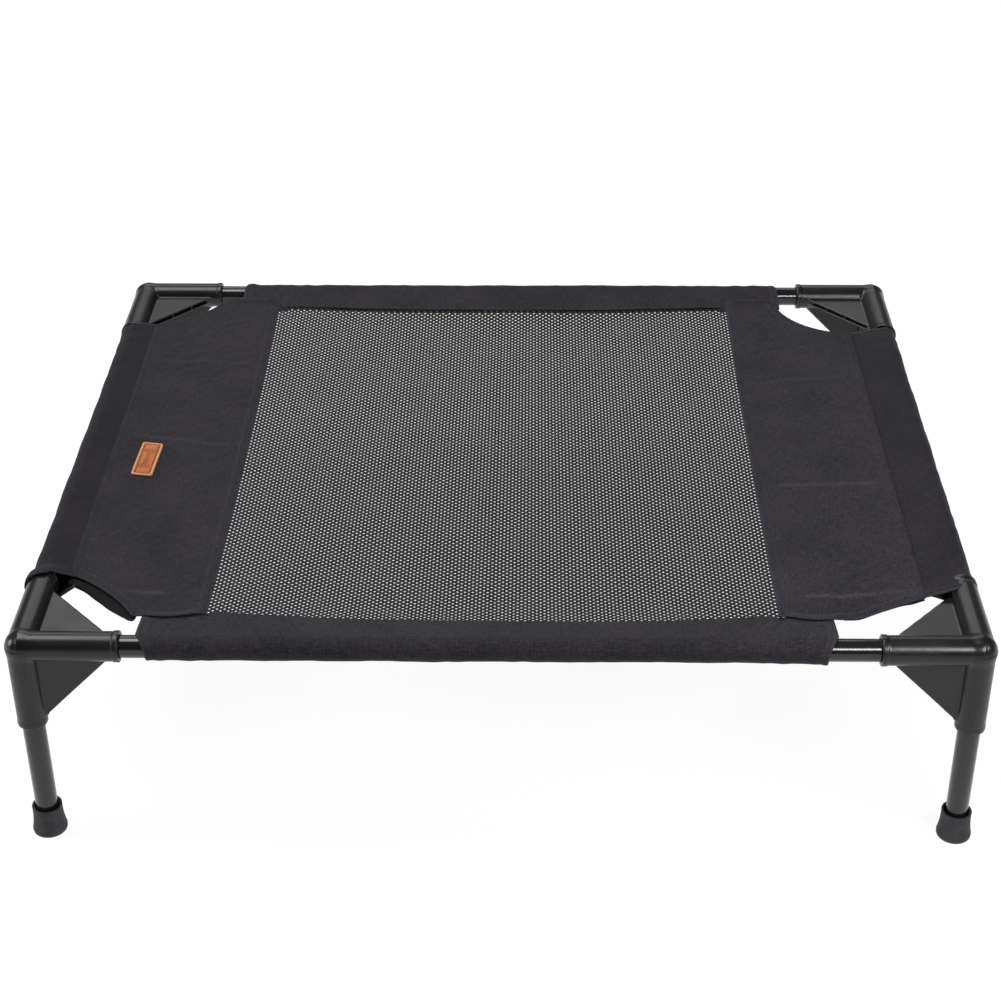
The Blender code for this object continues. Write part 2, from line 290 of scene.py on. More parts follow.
# Powder-coated steel: glossy black, with the orange peel of the fused powder breaking its highlights
def powderCoat():
    material, tree, shader = newMaterial("black powder coat", {
        "IOR": 1.5, "Specular IOR Level": 0.42, "Coat Weight": 0.15, "Coat Roughness": 0.08})
    place = addNode(tree, "ShaderNodeTexCoord").outputs["Object"]
    peel = addNode(tree, "ShaderNodeTexNoise", {
        "Vector": place, "Scale": 1 / coatLook["peel"], "Detail": 1.0})
    speck = addNode(tree, "ShaderNodeTexNoise", {
        "Vector": place, "Scale": 1 / coatLook["speck"], "Detail": 2.0})
    colour = addNode(tree, "ShaderNodeValToRGB", {"Fac": speck.outputs["Fac"]})
    setRamp(colour, 0.4, 0.65, coatLook["dark"], coatLook["light"])
    gloss = addNode(tree, "ShaderNodeMapRange", {
        "Value": peel.outputs["Fac"], "To Min": coatLook["smooth"], "To Max": coatLook["rough"]})
    bump = addNode(tree, "ShaderNodeBump", {
        "Height": peel.outputs["Fac"], "Strength": 0.25, "Distance": coatLook["relief"]})
    linkFinish(tree, shader, colour.outputs["Color"], gloss, bump)
    return material


rubberLook = {
    "dark": "#242327", "light": "#313034", "dust": "#5d5b5c", "grain": 0.8 * millimetre, "cloudScale": 120.0,
    "dustHeight": 0.0035, "dustShare": 0.5, "smooth": 0.58, "rough": 0.78, "relief": 0.00015}


# Compression-moulded rubber: matte dark grey, a fine sandy skin, and dust caught just above the floor
def mouldedRubber():
    material, tree, shader = newMaterial("moulded rubber", {"IOR": 1.52, "Specular IOR Level": 0.35})
    place = addNode(tree, "ShaderNodeTexCoord").outputs["Object"]
    grain = addNode(tree, "ShaderNodeTexNoise", {
        "Vector": place, "Scale": 1 / rubberLook["grain"], "Detail": 4.0, "Roughness": 0.7})
    cloud = addNode(tree, "ShaderNodeTexNoise", {
        "Vector": place, "Scale": rubberLook["cloudScale"], "Detail": 3.0})
    colour = addNode(tree, "ShaderNodeValToRGB", {"Fac": cloud.outputs["Fac"]})
    setRamp(colour, 0.35, 0.7, rubberLook["dark"], rubberLook["light"])
    height = addNode(tree, "ShaderNodeSeparateXYZ", {"Vector": place})
    low = addNode(tree, "ShaderNodeMapRange", {
        "Value": height.outputs["Z"], "From Min": 0.0, "From Max": rubberLook["dustHeight"],
        "To Min": rubberLook["dustShare"], "To Max": 0.0})
    patchy = addNode(tree, "ShaderNodeMath", {
        0: low.outputs["Result"], 1: grain.outputs["Fac"]}, operation="MULTIPLY")
    dusty = addNode(tree, "ShaderNodeMix", {
        mixFactor: patchy.outputs["Value"], mixFirst: colour.outputs["Color"],
        mixSecond: linearColour(rubberLook["dust"])}, data_type="RGBA")
    gloss = addNode(tree, "ShaderNodeMapRange", {
        "Value": grain.outputs["Fac"], "To Min": rubberLook["smooth"], "To Max": rubberLook["rough"]})
    bump = addNode(tree, "ShaderNodeBump", {
        "Height": grain.outputs["Fac"], "Strength": 0.5, "Distance": rubberLook["relief"]})
    linkFinish(tree, shader, dusty.outputs[mixResult], gloss, bump)
    return material


# The lighter colour mixed in at edges, hems and fold ridges stands for painted highlight as well as wear
oxfordLook = {
    "dark": "#0f0d11", "light": "#2c2930", "highlitAndWorn": "#4b484f", "lint": "#807d80",
    "thread": 1.1 * millimetre, "slub": 9 * millimetre, "mottle": 2.6 * millimetre, "stain": 0.060,
    "lintSpacing": 8 * millimetre, "stainShare": 0.55, "mottleShare": 0.9, "threadShare": 0.14,
    "smooth": 0.72, "rough": 0.90, "relief": 0.00012}


# Polyester Oxford, plain-woven and coated on the back: matte charcoal, heathered by uneven threads, with a
# low sheen. Its threads are drawn twice as coarse as the real 0.55 mm, to show.
def oxfordCloth(name, look):
    material, tree, shader = newMaterial(name, {
        "IOR": 1.48, "Specular IOR Level": 0.2, "Sheen Weight": 0.05, "Sheen Roughness": 0.4})
    cloth = addNode(tree, "ShaderNodeUVMap", uv_map="cloth").outputs["UV"]
    turns = addNode(tree, "ShaderNodeVectorMath", {
        0: cloth, 1: (math.pi / look["thread"], math.pi / look["thread"], 0.0)}, operation="MULTIPLY")
    part = addNode(tree, "ShaderNodeSeparateXYZ", {0: turns.outputs["Vector"]})
    warp = addNode(tree, "ShaderNodeMath", {0: part.outputs["X"]}, operation="SINE")
    weft = addNode(tree, "ShaderNodeMath", {0: part.outputs["Y"]}, operation="SINE")
    weave = addNode(tree, "ShaderNodeMath", {
        0: warp.outputs["Value"], 1: weft.outputs["Value"]}, operation="MULTIPLY")
    raised = addNode(tree, "ShaderNodeMath", {0: weave.outputs["Value"]}, operation="ABSOLUTE")
    long, fine = 1 / look["slub"], 1 / look["thread"]
    warpMap = addNode(tree, "ShaderNodeMapping", {"Vector": cloth, "Scale": (fine, long, 1.0)})
    weftMap = addNode(tree, "ShaderNodeMapping", {"Vector": cloth, "Scale": (long, fine, 1.0)})
    warpSlub = addNode(tree, "ShaderNodeTexNoise", {
        "Vector": warpMap.outputs["Vector"], "Scale": 1.0, "Detail": 2.0})
    weftSlub = addNode(tree, "ShaderNodeTexNoise", {
        "Vector": weftMap.outputs["Vector"], "Scale": 1.0, "Detail": 2.0})
    slub = addNode(tree, "ShaderNodeMath", {
        0: warpSlub.outputs["Fac"], 1: weftSlub.outputs["Fac"]}, operation="ADD")
    cloud = addNode(tree, "ShaderNodeTexNoise", {"Vector": cloth, "Scale": 1 / look["stain"], "Detail": 5.0})
    heather = addNode(tree, "ShaderNodeMath", {
        0: cloud.outputs["Fac"], 1: look["stainShare"], 2: slub.outputs["Value"]}, operation="MULTIPLY_ADD")
    mottle = addNode(tree, "ShaderNodeTexNoise", {
        "Vector": cloth, "Scale": 1 / look["mottle"], "Detail": 3.0, "Roughness": 0.7})
    mottled = addNode(tree, "ShaderNodeMath", {
        0: mottle.outputs["Fac"], 1: look["mottleShare"], 2: heather.outputs["Value"]},
        operation="MULTIPLY_ADD")
    tone = addNode(tree, "ShaderNodeMath", {
        0: raised.outputs["Value"], 1: look["threadShare"], 2: mottled.outputs["Value"]},
        operation="MULTIPLY_ADD")
    spread = addNode(tree, "ShaderNodeMapRange", {
        "Value": tone.outputs["Value"], "From Min": 1.50, "From Max": 2.10})
    colour = addNode(tree, "ShaderNodeValToRGB", {"Fac": spread.outputs["Result"]})
    setRamp(colour, 0.0, 1.0, look["dark"], look["light"])
    # Lighter at edges, hems and fold ridges: painted highlight and wear, broken up by the slubs
    lighterShare = addNode(tree, "ShaderNodeAttribute", attribute_name="lighterShare", attribute_type="GEOMETRY")
    highlitAndRubbed = addNode(tree, "ShaderNodeMath", {
        0: lighterShare.outputs["Fac"], 1: warpSlub.outputs["Fac"]}, operation="MULTIPLY", use_clamp=True)
    highlitAndWornColour = addNode(tree, "ShaderNodeMix", {
        mixFactor: highlitAndRubbed.outputs["Value"], mixFirst: colour.outputs["Color"],
        mixSecond: linearColour(look["highlitAndWorn"])}, data_type="RGBA")
    # Lint: small specks round scattered points, in some patches only
    specks = addNode(tree, "ShaderNodeTexVoronoi", {
        "Vector": cloth, "Scale": 1 / look["lintSpacing"]}, feature="F1")
    isLint = addNode(tree, "ShaderNodeMapRange", {
        "Value": specks.outputs["Distance"], "From Min": 0.02, "From Max": 0.055,
        "To Min": 0.55, "To Max": 0.0})
    patchy = addNode(tree, "ShaderNodeMapRange", {
        "Value": cloud.outputs["Fac"], "From Min": 0.50, "From Max": 0.62})
    lint = addNode(tree, "ShaderNodeMath", {
        0: isLint.outputs["Result"], 1: patchy.outputs["Result"]}, operation="MULTIPLY")
    finished = addNode(tree, "ShaderNodeMix", {
        mixFactor: lint.outputs["Value"], mixFirst: highlitAndWornColour.outputs[mixResult],
        mixSecond: linearColour(look["lint"])}, data_type="RGBA")
    gloss = addNode(tree, "ShaderNodeMapRange", {
        "Value": slub.outputs["Value"], "From Min": 0.7, "From Max": 1.3,
        "To Min": look["smooth"], "To Max": look["rough"]})
    height = addNode(tree, "ShaderNodeMath", {
        0: slub.outputs["Value"], 1: 0.6, 2: raised.outputs["Value"]}, operation="MULTIPLY_ADD")
    bump = addNode(tree, "ShaderNodeBump", {
        "Height": height.outputs["Value"], "Strength": 0.6, "Distance": look["relief"]})
    linkFinish(tree, shader, finished.outputs[mixResult], gloss, bump)
    return material


shadeBlackLiningLook = {
    "dark": "#060607", "light": "#0d0d0f", "rumple": 7 * millimetre, "thread": 1.1 * millimetre,
    "smooth": 0.50, "rough": 0.75, "relief": 0.0008}


# The lining's face: near black, as painted shade under the corner hems, a dull film over the weave, finely
# rumpled
def shadeBlackLining():
    material, tree, shader = newMaterial("lining painted black as shade", {"IOR": 1.5, "Specular IOR Level": 0.12})
    cloth = addNode(tree, "ShaderNodeUVMap", uv_map="cloth").outputs["UV"]
    rumple = addNode(tree, "ShaderNodeTexNoise", {
        "Vector": cloth, "Scale": 1 / shadeBlackLiningLook["rumple"], "Detail": 4.0})
    weave = addNode(tree, "ShaderNodeTexNoise", {
        "Vector": cloth, "Scale": 1 / shadeBlackLiningLook["thread"], "Detail": 1.0})
    colour = addNode(tree, "ShaderNodeValToRGB", {"Fac": weave.outputs["Fac"]})
    setRamp(colour, 0.4, 0.7, shadeBlackLiningLook["dark"], shadeBlackLiningLook["light"])
    gloss = addNode(tree, "ShaderNodeMapRange", {
        "Value": rumple.outputs["Fac"], "To Min": shadeBlackLiningLook["smooth"], "To Max": shadeBlackLiningLook["rough"]})
    height = addNode(tree, "ShaderNodeMath", {
        0: weave.outputs["Fac"], 1: 0.3, 2: rumple.outputs["Fac"]}, operation="MULTIPLY_ADD")
    bump = addNode(tree, "ShaderNodeBump", {
        "Height": height.outputs["Value"], "Strength": 0.7, "Distance": shadeBlackLiningLook["relief"]})
    linkFinish(tree, shader, colour.outputs["Color"], gloss, bump)
    return material


yarnLook = {
    "dark": "#09090a", "light": "#19181b", "loop": 1.5 * millimetre, "cloud": 0.045, "loopShare": 0.35,
    "smooth": 0.50, "rough": 0.68, "relief": 0.0002}


# Warp-knitted polyester yarn dipped in soft vinyl: black, satin, each bar ribbed by its loops
def dippedYarn():
    material, tree, shader = newMaterial("vinyl dipped yarn", {"IOR": 1.5, "Specular IOR Level": 0.30})
    place = addNode(tree, "ShaderNodeTexCoord").outputs["Object"]
    loops = addNode(tree, "ShaderNodeTexVoronoi", {
        "Vector": place, "Scale": 1 / yarnLook["loop"]}, feature="F1")
    cloud = addNode(tree, "ShaderNodeTexNoise", {
        "Vector": place, "Scale": 1 / yarnLook["cloud"], "Detail": 4.0})
    tone = addNode(tree, "ShaderNodeMath", {
        0: loops.outputs["Distance"], 1: yarnLook["loopShare"], 2: cloud.outputs["Fac"]},
        operation="MULTIPLY_ADD")
    colour = addNode(tree, "ShaderNodeValToRGB", {"Fac": tone.outputs["Value"]})
    setRamp(colour, 0.4, 0.9, yarnLook["dark"], yarnLook["light"])
    gloss = addNode(tree, "ShaderNodeMapRange", {
        "Value": cloud.outputs["Fac"], "To Min": yarnLook["smooth"], "To Max": yarnLook["rough"]})
    bump = addNode(tree, "ShaderNodeBump", {
        "Height": loops.outputs["Distance"], "Strength": 0.6, "Distance": yarnLook["relief"]}, invert=True)
    linkFinish(tree, shader, colour.outputs["Color"], gloss, bump)
    return material


threadLook = {
    "dark": "#0b0b0c", "light": "#1c1b1f", "ply": 0.5 * millimetre,
    "smooth": 0.45, "rough": 0.60, "relief": 0.00008}
bandsPerScale = 20  # a Wave texture draws this many bands in a unit at a scale of 1


# Bonded polyester sewing thread: black with a slight lustre, its plies drawn as slanting bands
def sewingThread():
    material, tree, shader = newMaterial("bonded black thread", {"IOR": 1.5, "Specular IOR Level": 0.3})
    place = addNode(tree, "ShaderNodeTexCoord").outputs["Object"]
    ply = addNode(tree, "ShaderNodeTexWave", {
        "Vector": place, "Scale": 1 / (bandsPerScale * threadLook["ply"]), "Distortion": 1.0},
        bands_direction="DIAGONAL")
    colour = addNode(tree, "ShaderNodeValToRGB", {"Fac": ply.outputs["Fac"]})
    setRamp(colour, 0.2, 0.8, threadLook["dark"], threadLook["light"])
    gloss = addNode(tree, "ShaderNodeMapRange", {
        "Value": ply.outputs["Fac"], "To Min": threadLook["smooth"], "To Max": threadLook["rough"]})
    bump = addNode(tree, "ShaderNodeBump", {
        "Height": ply.outputs["Fac"], "Strength": 0.5, "Distance": threadLook["relief"]})
    linkFinish(tree, shader, colour.outputs["Color"], gloss, bump)
    return material


leatherLook = {
    "dark": "#955225", "light": "#b56b36", "rim": "#c7946e", "burnt": "#5c2f17",
    "pebble": 1.3 * millimetre, "cloud": 0.012, "smooth": 0.45, "rough": 0.65, "relief": 0.0001}


# Vegetable-tanned cowhide, stamped: tan with cloudy dye and pebbled grain, paler at its cut edge and burnt
# where it is pressed
def stampedLeather():
    material, tree, shader = newMaterial("stamped tan leather", {"IOR": 1.5, "Specular IOR Level": 0.25})
    place = addNode(tree, "ShaderNodeTexCoord").outputs["Object"]
    cloud = addNode(tree, "ShaderNodeTexNoise", {
        "Vector": place, "Scale": 1 / leatherLook["cloud"], "Detail": 6.0, "Roughness": 0.65})
    pebble = addNode(tree, "ShaderNodeTexVoronoi", {
        "Vector": place, "Scale": 1 / leatherLook["pebble"]}, feature="DISTANCE_TO_EDGE")
    colour = addNode(tree, "ShaderNodeValToRGB", {"Fac": cloud.outputs["Fac"]})
    setRamp(colour, 0.3, 0.7, leatherLook["dark"], leatherLook["light"])
    pressed = addNode(tree, "ShaderNodeAttribute", attribute_name="pressed", attribute_type="GEOMETRY")
    burnt = addNode(tree, "ShaderNodeMix", {
        mixFactor: pressed.outputs["Fac"], mixFirst: colour.outputs["Color"],
        mixSecond: linearColour(leatherLook["burnt"])}, data_type="RGBA")
    lighterShare = addNode(tree, "ShaderNodeAttribute", attribute_name="lighterShare", attribute_type="GEOMETRY")
    finished = addNode(tree, "ShaderNodeMix", {
        mixFactor: lighterShare.outputs["Fac"], mixFirst: burnt.outputs[mixResult],
        mixSecond: linearColour(leatherLook["rim"])}, data_type="RGBA")
    grain = addNode(tree, "ShaderNodeMapRange", {"Value": pebble.outputs["Distance"], "From Max": 0.12})
    gloss = addNode(tree, "ShaderNodeMapRange", {
        "Value": cloud.outputs["Fac"], "To Min": leatherLook["smooth"], "To Max": leatherLook["rough"]})
    bump = addNode(tree, "ShaderNodeBump", {
        "Height": grain.outputs["Result"], "Strength": 0.5, "Distance": leatherLook["relief"]})
    linkFinish(tree, shader, finished.outputs[mixResult], gloss, bump)
    return material


nylon = mouldedNylon()
coatedSteel = powderCoat()
rubber = mouldedRubber()
oxford = oxfordCloth("charcoal oxford cloth", oxfordLook)
shadedSleeveOxford = oxfordCloth("oxford cloth darkened as painted shade", {
    **oxfordLook, "dark": "#0b0a0d", "light": "#231f27"})  # the side sleeves' copy of the cloth, darkened as painted shade
lining = shadeBlackLining()
yarn = dippedYarn()
thread = sewingThread()
leather = stampedLeather()
print("materials made")


# Camera and room

view = {
    "place": (0.02465, -1.5312, 1.1056), "turn": -0.01864, "tilt": 0.56816, "roll": -0.0059,
    "lens": 71.885, "sensor": 36.0, "farthest": 50.0}


# The camera looks ahead along +Y, turned about Z, tilted down and rolled
def addCamera():
    turn, tilt, roll = view["turn"], view["tilt"], view["roll"]
    ahead = np.array([math.sin(turn) * math.cos(tilt), math.cos(turn) * math.cos(tilt), -math.sin(tilt)])
    level = np.array([math.cos(turn), -math.sin(turn), 0.0])
    upward = np.cross(level, ahead)
    right = level * math.cos(roll) + upward * math.sin(roll)
    up = upward * math.cos(roll) - level * math.sin(roll)
    lens = bpy.data.cameras.new("camera")
    lens.lens = view["lens"]
    lens.sensor_width = view["sensor"]
    lens.clip_end = view["farthest"]
    camera = bpy.data.objects.new("camera", lens)
    bpy.context.scene.collection.objects.link(camera)
    turned = Matrix((right, up, -ahead)).transposed().to_4x4()
    camera.matrix_world = Matrix.Translation(view["place"]) @ turned
    bpy.context.scene.camera = camera


room = {
    "floorSize": 14.0, "floor": "#5a5a5a", "floorLight": "#626262", "fibre": 3.0, "glow": 0.92,
    "skyFront": 0.05, "skyBack": 0.14, "backdrop": 1.0}
softboxes = {
    "overhead": {"place": (-0.75, 0.25, 2.5), "size": (1.7, 1.2), "power": 46.0},
    "behind": {"place": (-0.2, 2.3, 1.9), "size": (2.6, 0.9), "power": 18.0},
    "nearRight": {"place": (0.74, -0.86, 0.87), "size": (0.7, 0.22), "power": 11.5},
}
farLight = {"elevation": math.radians(22), "strength": 1.6, "angle": math.radians(30)}


# A wide sheet of paper that glows enough to stay white, and still takes the bed's faint shadow
def addFloor():
    half = room["floorSize"] / 2
    corners = np.array([(-half, -half, 0), (half, -half, 0), (half, half, 0), (-half, half, 0)])
    material, tree, shader = newMaterial("matte white paper", {
        "Roughness": 0.9, "Specular IOR Level": 0.1, "Emission Color": (1.0, 1.0, 1.0, 1.0),
        "Emission Strength": room["glow"]})
    place = addNode(tree, "ShaderNodeTexCoord").outputs["Object"]
    fibre = addNode(tree, "ShaderNodeTexNoise", {"Vector": place, "Scale": room["fibre"], "Detail": 3.0})
    colour = addNode(tree, "ShaderNodeValToRGB", {"Fac": fibre.outputs["Fac"]})
    setRamp(colour, 0.3, 0.7, room["floor"], room["floorLight"])
    tree.links.new(colour.outputs["Color"], shader.inputs["Base Color"])
    floor = makePiece("floor", corners, [np.array([[0, 1, 2, 3]])], material)


# White to the eye; on the object a dim light, weaker from the front than from the back
def addSky():
    world = bpy.data.worlds.new("studio")
    bpy.context.scene.world = world
    world.use_nodes = True
    tree = world.node_tree
    around = addNode(tree, "ShaderNodeTexCoord").outputs["Generated"]
    ahead = addNode(tree, "ShaderNodeSeparateXYZ", {0: around})
    dim = addNode(tree, "ShaderNodeMapRange", {
        "Value": ahead.outputs["Y"], "From Min": -1.0, "From Max": 1.0,
        "To Min": room["skyFront"], "To Max": room["skyBack"]})
    seen = addNode(tree, "ShaderNodeLightPath").outputs["Is Camera Ray"]
    strength = addNode(tree, "ShaderNodeMapRange", {
        "Value": seen, "To Min": dim.outputs["Result"], "To Max": room["backdrop"]})
    tree.links.new(strength.outputs["Result"], tree.nodes["Background"].inputs["Strength"])
    tree.nodes["Background"].inputs["Color"].default_value = (1.0, 1.0, 1.0, 1.0)


target = np.array([0.0, 0.0, 0.1])


# Each softbox is a rectangle that faces the middle of the bed
def addSoftboxes():
    for name, box in softboxes.items():
        lamp = bpy.data.lights.new(name, "AREA")
        lamp.shape = "RECTANGLE"
        lamp.size, lamp.size_y = box["size"]
        lamp.energy = box["power"]
        away = unit(np.array(box["place"]) - target)
        level = unit(np.cross((0.0, 1.0, 0.0) if abs(away[1]) < 0.5 else (0.0, 0.0, 1.0), away))
        level = -level if level[0] < 0 else level
        up = np.cross(away, level)
        holder = bpy.data.objects.new(name, lamp)
        bpy.context.scene.collection.objects.link(holder)
        turned = Matrix((level, up, away)).transposed().to_4x4()
        holder.matrix_world = Matrix.Translation(box["place"]) @ turned


# A broad light from far to the left
def addFarLight():
    lamp = bpy.data.lights.new("farLeft", "SUN")
    lamp.energy, lamp.angle = farLight["strength"], farLight["angle"]
    holder = bpy.data.objects.new("farLeft", lamp)
    bpy.context.scene.collection.objects.link(holder)
    holder.rotation_euler = (0.0, farLight["elevation"] - math.pi / 2, 0.0)


bpy.context.scene.view_settings.view_transform = "Standard"
addCamera()
addFloor()
addSky()
addSoftboxes()
addFarLight()
print("camera, floor and lights placed")


# Corner connectors: moulded three-way elbows, each arm with a lip at its mouth and a web between each two
# arms. The surface is where a signed distance is zero, so every meeting of arm and web has its moulded fillet.

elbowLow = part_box("corner_connector_back_right")[0]
arms = [axisX - elbowLow.x, axisY - elbowLow.y, axisZ - elbowLow.z]
connector = {
    "armRadius": 0.0118, "ballRadius": 0.0122, "boreRadius": 0.0093, "boreStop": 0.016,
    "lipRadius": 0.0124, "lipLength": 0.0045, "lipSlope": 0.0007, "lipShare": (1.0, 1.0, 0.4),
    "webReach": (0.0665, 0.0710, 0.0675), "webHalf": 0.0028, "webStart": 0.9, "slotHalf": 0.0017,
    "slotDepth": 0.0050, "slotStart": 0.0135, "ribHalf": 0.0006, "ribAt": 0.012, "earRadius": 0.0022,
    "edge": 0.0004, "fillet": 0.0014, "armFillet": 0.0025, "cell": 0.0008}


# The nearer of two shapes, with a fillet of that size where they meet
def joinShapes(first, second, fillet):
    share = np.maximum(fillet - np.abs(first - second), 0.0) / fillet
    return np.minimum(first, second) - share * share * fillet / 4


# What two shapes have in common, with an edge rounded to that radius
def meetShapes(first, second, radius):
    corner = np.hypot(np.maximum(first + radius, 0.0), np.maximum(second + radius, 0.0))
    return np.minimum(np.maximum(first, second) + radius, 0.0) + corner - radius


# Signed distance to the connector whose arms run along -X, -Y and -Z
def connectorDistance(x, y, z):
    c = connector
    along = [-x, -y, -z]
    radial = [np.hypot(y, z), np.hypot(x, z), np.hypot(x, y)]
    shape = np.sqrt(x * x + y * y + z * z) - c["ballRadius"]
    for reach, run, radius, lipShare in zip(arms, along, radial, c["lipShare"]):
        lipStart = reach - c["lipLength"]
        lip = lipShare * smoothStep(lipStart - c["lipSlope"], lipStart + c["lipSlope"], run)
        outer = radius - c["armRadius"] - (c["lipRadius"] - c["armRadius"]) * lip
        arm = np.maximum(meetShapes(outer, run - reach, c["edge"]), -run)
        shape = joinShapes(shape, arm, c["armFillet"])
    inset = c["webStart"] * c["armRadius"]
    for first, second, third in ((0, 1, 2), (2, 0, 1), (1, 2, 0)):
        u, v, w = along[first], along[second], np.abs(along[third])
        reachU, reachV = c["webReach"][first], c["webReach"][second]
        length = math.hypot(reachV - inset, reachU - inset)
        beyond = ((u - reachU) * (reachV - inset) + (v - inset) * (reachU - inset)) / length
        inside = np.maximum(beyond, np.maximum(-u, -v))
        web = meetShapes(inside, w - c["webHalf"], c["edge"])
        run = (u * (reachU - inset) - v * (reachV - inset)) / length
        ribs = c["ribHalf"] - np.abs(np.abs(run) - c["ribAt"])
        # A channel along the web's free edge, crossed by two ribs
        channel = np.maximum(w - c["slotHalf"], -beyond - c["slotDepth"])
        slot = np.maximum(channel, np.maximum(ribs, -np.minimum(u, v) + c["slotStart"]))
        web = meetShapes(web, -slot, c["edge"])
        shape = joinShapes(shape, web, c["fillet"])
    # A small ear where each upright web runs out beside the leg's mouth
    for u, v in ((along[0], along[1]), (along[1], along[0])):
        run = along[2] - c["webReach"][2] + 2 * c["earRadius"]
        past = np.maximum(np.abs(run) - c["earRadius"], 0.0)
        ear = np.sqrt((u - c["armRadius"]) ** 2 + v * v + past ** 2) - c["earRadius"]
        shape = joinShapes(shape, ear, c["edge"])
    for reach, run, radius in zip(arms, along, radial):
        bore = np.maximum(radius - c["boreRadius"], c["boreStop"] - run)
        shape = meetShapes(shape, -bore, c["edge"])
    return shape


# The surface of a field on a grid: a point in each cell that it passes through, at the mean of where it
# crosses the cell's edges, and a quad round each grid edge that it crosses
def wrapField(field, low, cell):
    inside = field < 0
    shape = np.array(field.shape) - 1
    corners = [(i, j, k) for i in (0, 1) for j in (0, 1) for k in (0, 1)]
    count = sum(
        inside[i:i + shape[0], j:j + shape[1], k:k + shape[2]].astype(np.int8) for i, j, k in corners)
    active = (count > 0) & (count < len(corners))
    cells = np.argwhere(active)
    values = [field[cells[:, 0] + i, cells[:, 1] + j, cells[:, 2] + k] for i, j, k in corners]
    total, hits = np.zeros(cells.shape), np.zeros(len(cells))
    for first in range(len(corners)):
        for second in range(first + 1, len(corners)):
            start, end = np.array(corners[first]), np.array(corners[second])
            if np.abs(end - start).sum() != 1:
                continue
            crossed = (values[first] < 0) != (values[second] < 0)
            fall = np.where(crossed, values[first] - values[second], 1.0)
            share = np.where(crossed, values[first] / fall, 0.0)
            total += crossed[:, None] * (start + share[:, None] * (end - start))
            hits += crossed
    points = low + (cells + total / hits[:, None]) * cell
    index = np.full(active.shape, -1)
    index[active] = np.arange(len(cells))
    quads = []
    for axis in range(3):
        second, third = (axis + 1) % 3, (axis + 2) % 3
        near = np.take(inside, range(0, shape[axis]), axis=axis)
        far = np.take(inside, range(1, shape[axis] + 1), axis=axis)
        edges = np.argwhere(near != far)
        rising = near[tuple(edges.T)]
        ring = []
        for back, down in ((1, 1), (0, 1), (0, 0), (1, 0)):
            around = edges.copy()
            around[:, second] -= back
            around[:, third] -= down
            ring.append(index[tuple(around.T)])
        quad = np.stack(ring, axis=1)
        quads.append(np.where(rising[:, None], quad, quad[:, ::-1]))
    return points, np.concatenate(quads)


leastSlope = 0.3  # below this, at a sharp edge, a point moves less than the slope says


# Moves points onto the surface, along the field's own slope
def settleOn(distance, points, rounds=3, step=0.00002):
    for _ in range(rounds):
        here = distance(*points.T)
        slope = np.empty(points.shape)
        for axis in range(3):
            nudge = np.zeros(3)
            nudge[axis] = step
            slope[:, axis] = (distance(*(points + nudge).T) - distance(*(points - nudge).T)) / (2 * step)
        points = points - slope * (here / np.maximum((slope ** 2).sum(axis=1), leastSlope))[:, None]
    return points


# The field's grid starts a little beyond the mouths, between whole cells, and ends beyond the ball
def connectorSurface():
    cell = connector["cell"]
    low = np.array([-reach - 2.4 * cell for reach in arms])
    high = connector["lipRadius"] + 2 * cell
    x, y, z = (np.arange(low[k], high + cell, cell) for k in range(3))
    field = connectorDistance(x[:, None, None], y[None, :, None], z[None, None, :])
    points, quads = wrapField(field, low, cell)
    return settleOn(connectorDistance, points), quads


# The left-hand mouldings are the right-hand one mirrored, with its faces turned over
def addConnectors():
    points, quads = connectorSurface()
    for end, endSign in ends.items():
        for side, sideSign in sides.items():
            placed = points * (sideSign, endSign, 1) + (sideSign * axisX, endSign * axisY, axisZ)
            faces = quads if sideSign == endSign else quads[:, ::-1]
            piece = makePiece(f"{end}_{side}_elbow", placed, [faces], nylon)
            settlePiece(piece, "frame", f"corner_connector_{end}_{side}")


addConnectors()
print("connectors moulded")


# Rounds each inner corner of a profile of (radius, height, rounding) rows with a short curve
def roundedProfile(rows, steps=5):
    rows = np.array(rows)
    path = [rows[0, :2]]
    share = np.linspace(0, 1, steps)[:, None]
    for before, here, after in zip(rows[:-2], rows[1:-1], rows[2:]):
        towards, onwards = before[:2] - here[:2], after[:2] - here[:2]
        start = here[:2] + towards * min(here[2] / np.linalg.norm(towards), 0.5)
        end = here[:2] + onwards * min(here[2] / np.linalg.norm(onwards), 0.5)
        path.extend((1 - share) ** 2 * start + 2 * share * (1 - share) * here[:2] + share ** 2 * end)
    path.append(rows[-1, :2])
    return np.array(path)


# A solid turned about an axis through the centre; its profile runs up the outer side. At radius 0 it ends in
# a point, and otherwise it closes on itself as a ring.
def turnedPiece(name, profile, centre, material, axis=2, turns=64):
    angle = np.linspace(0, 2 * np.pi, turns, endpoint=False)
    pointed = profile[0, 0] < 1e-7
    rings = profile[1:-1] if pointed else profile
    radius, height = rings[:, :1], np.repeat(rings[:, 1:], turns, axis=1)
    points = np.stack([radius * np.cos(angle), radius * np.sin(angle), height], axis=-1).reshape(-1, 3)
    faceSets = [gridFaces(len(rings), turns, closeRows=not pointed, closeColumns=True)]
    if pointed:
        column = np.arange(turns)
        after = (column + 1) % turns
        last = (len(rings) - 1) * turns
        tips = len(points) + np.array([0, 1])
        points = np.concatenate([points, [(0, 0, profile[0, 1]), (0, 0, profile[-1, 1])]])
        faceSets.append(np.stack([np.full(turns, tips[0]), after, column], axis=1))
        faceSets.append(np.stack([last + column, last + after, np.full(turns, tips[1])], axis=1))
    points = np.roll(points, axis + 1, axis=1) + np.array(centre)
    return makePiece(name, points, faceSets, material)


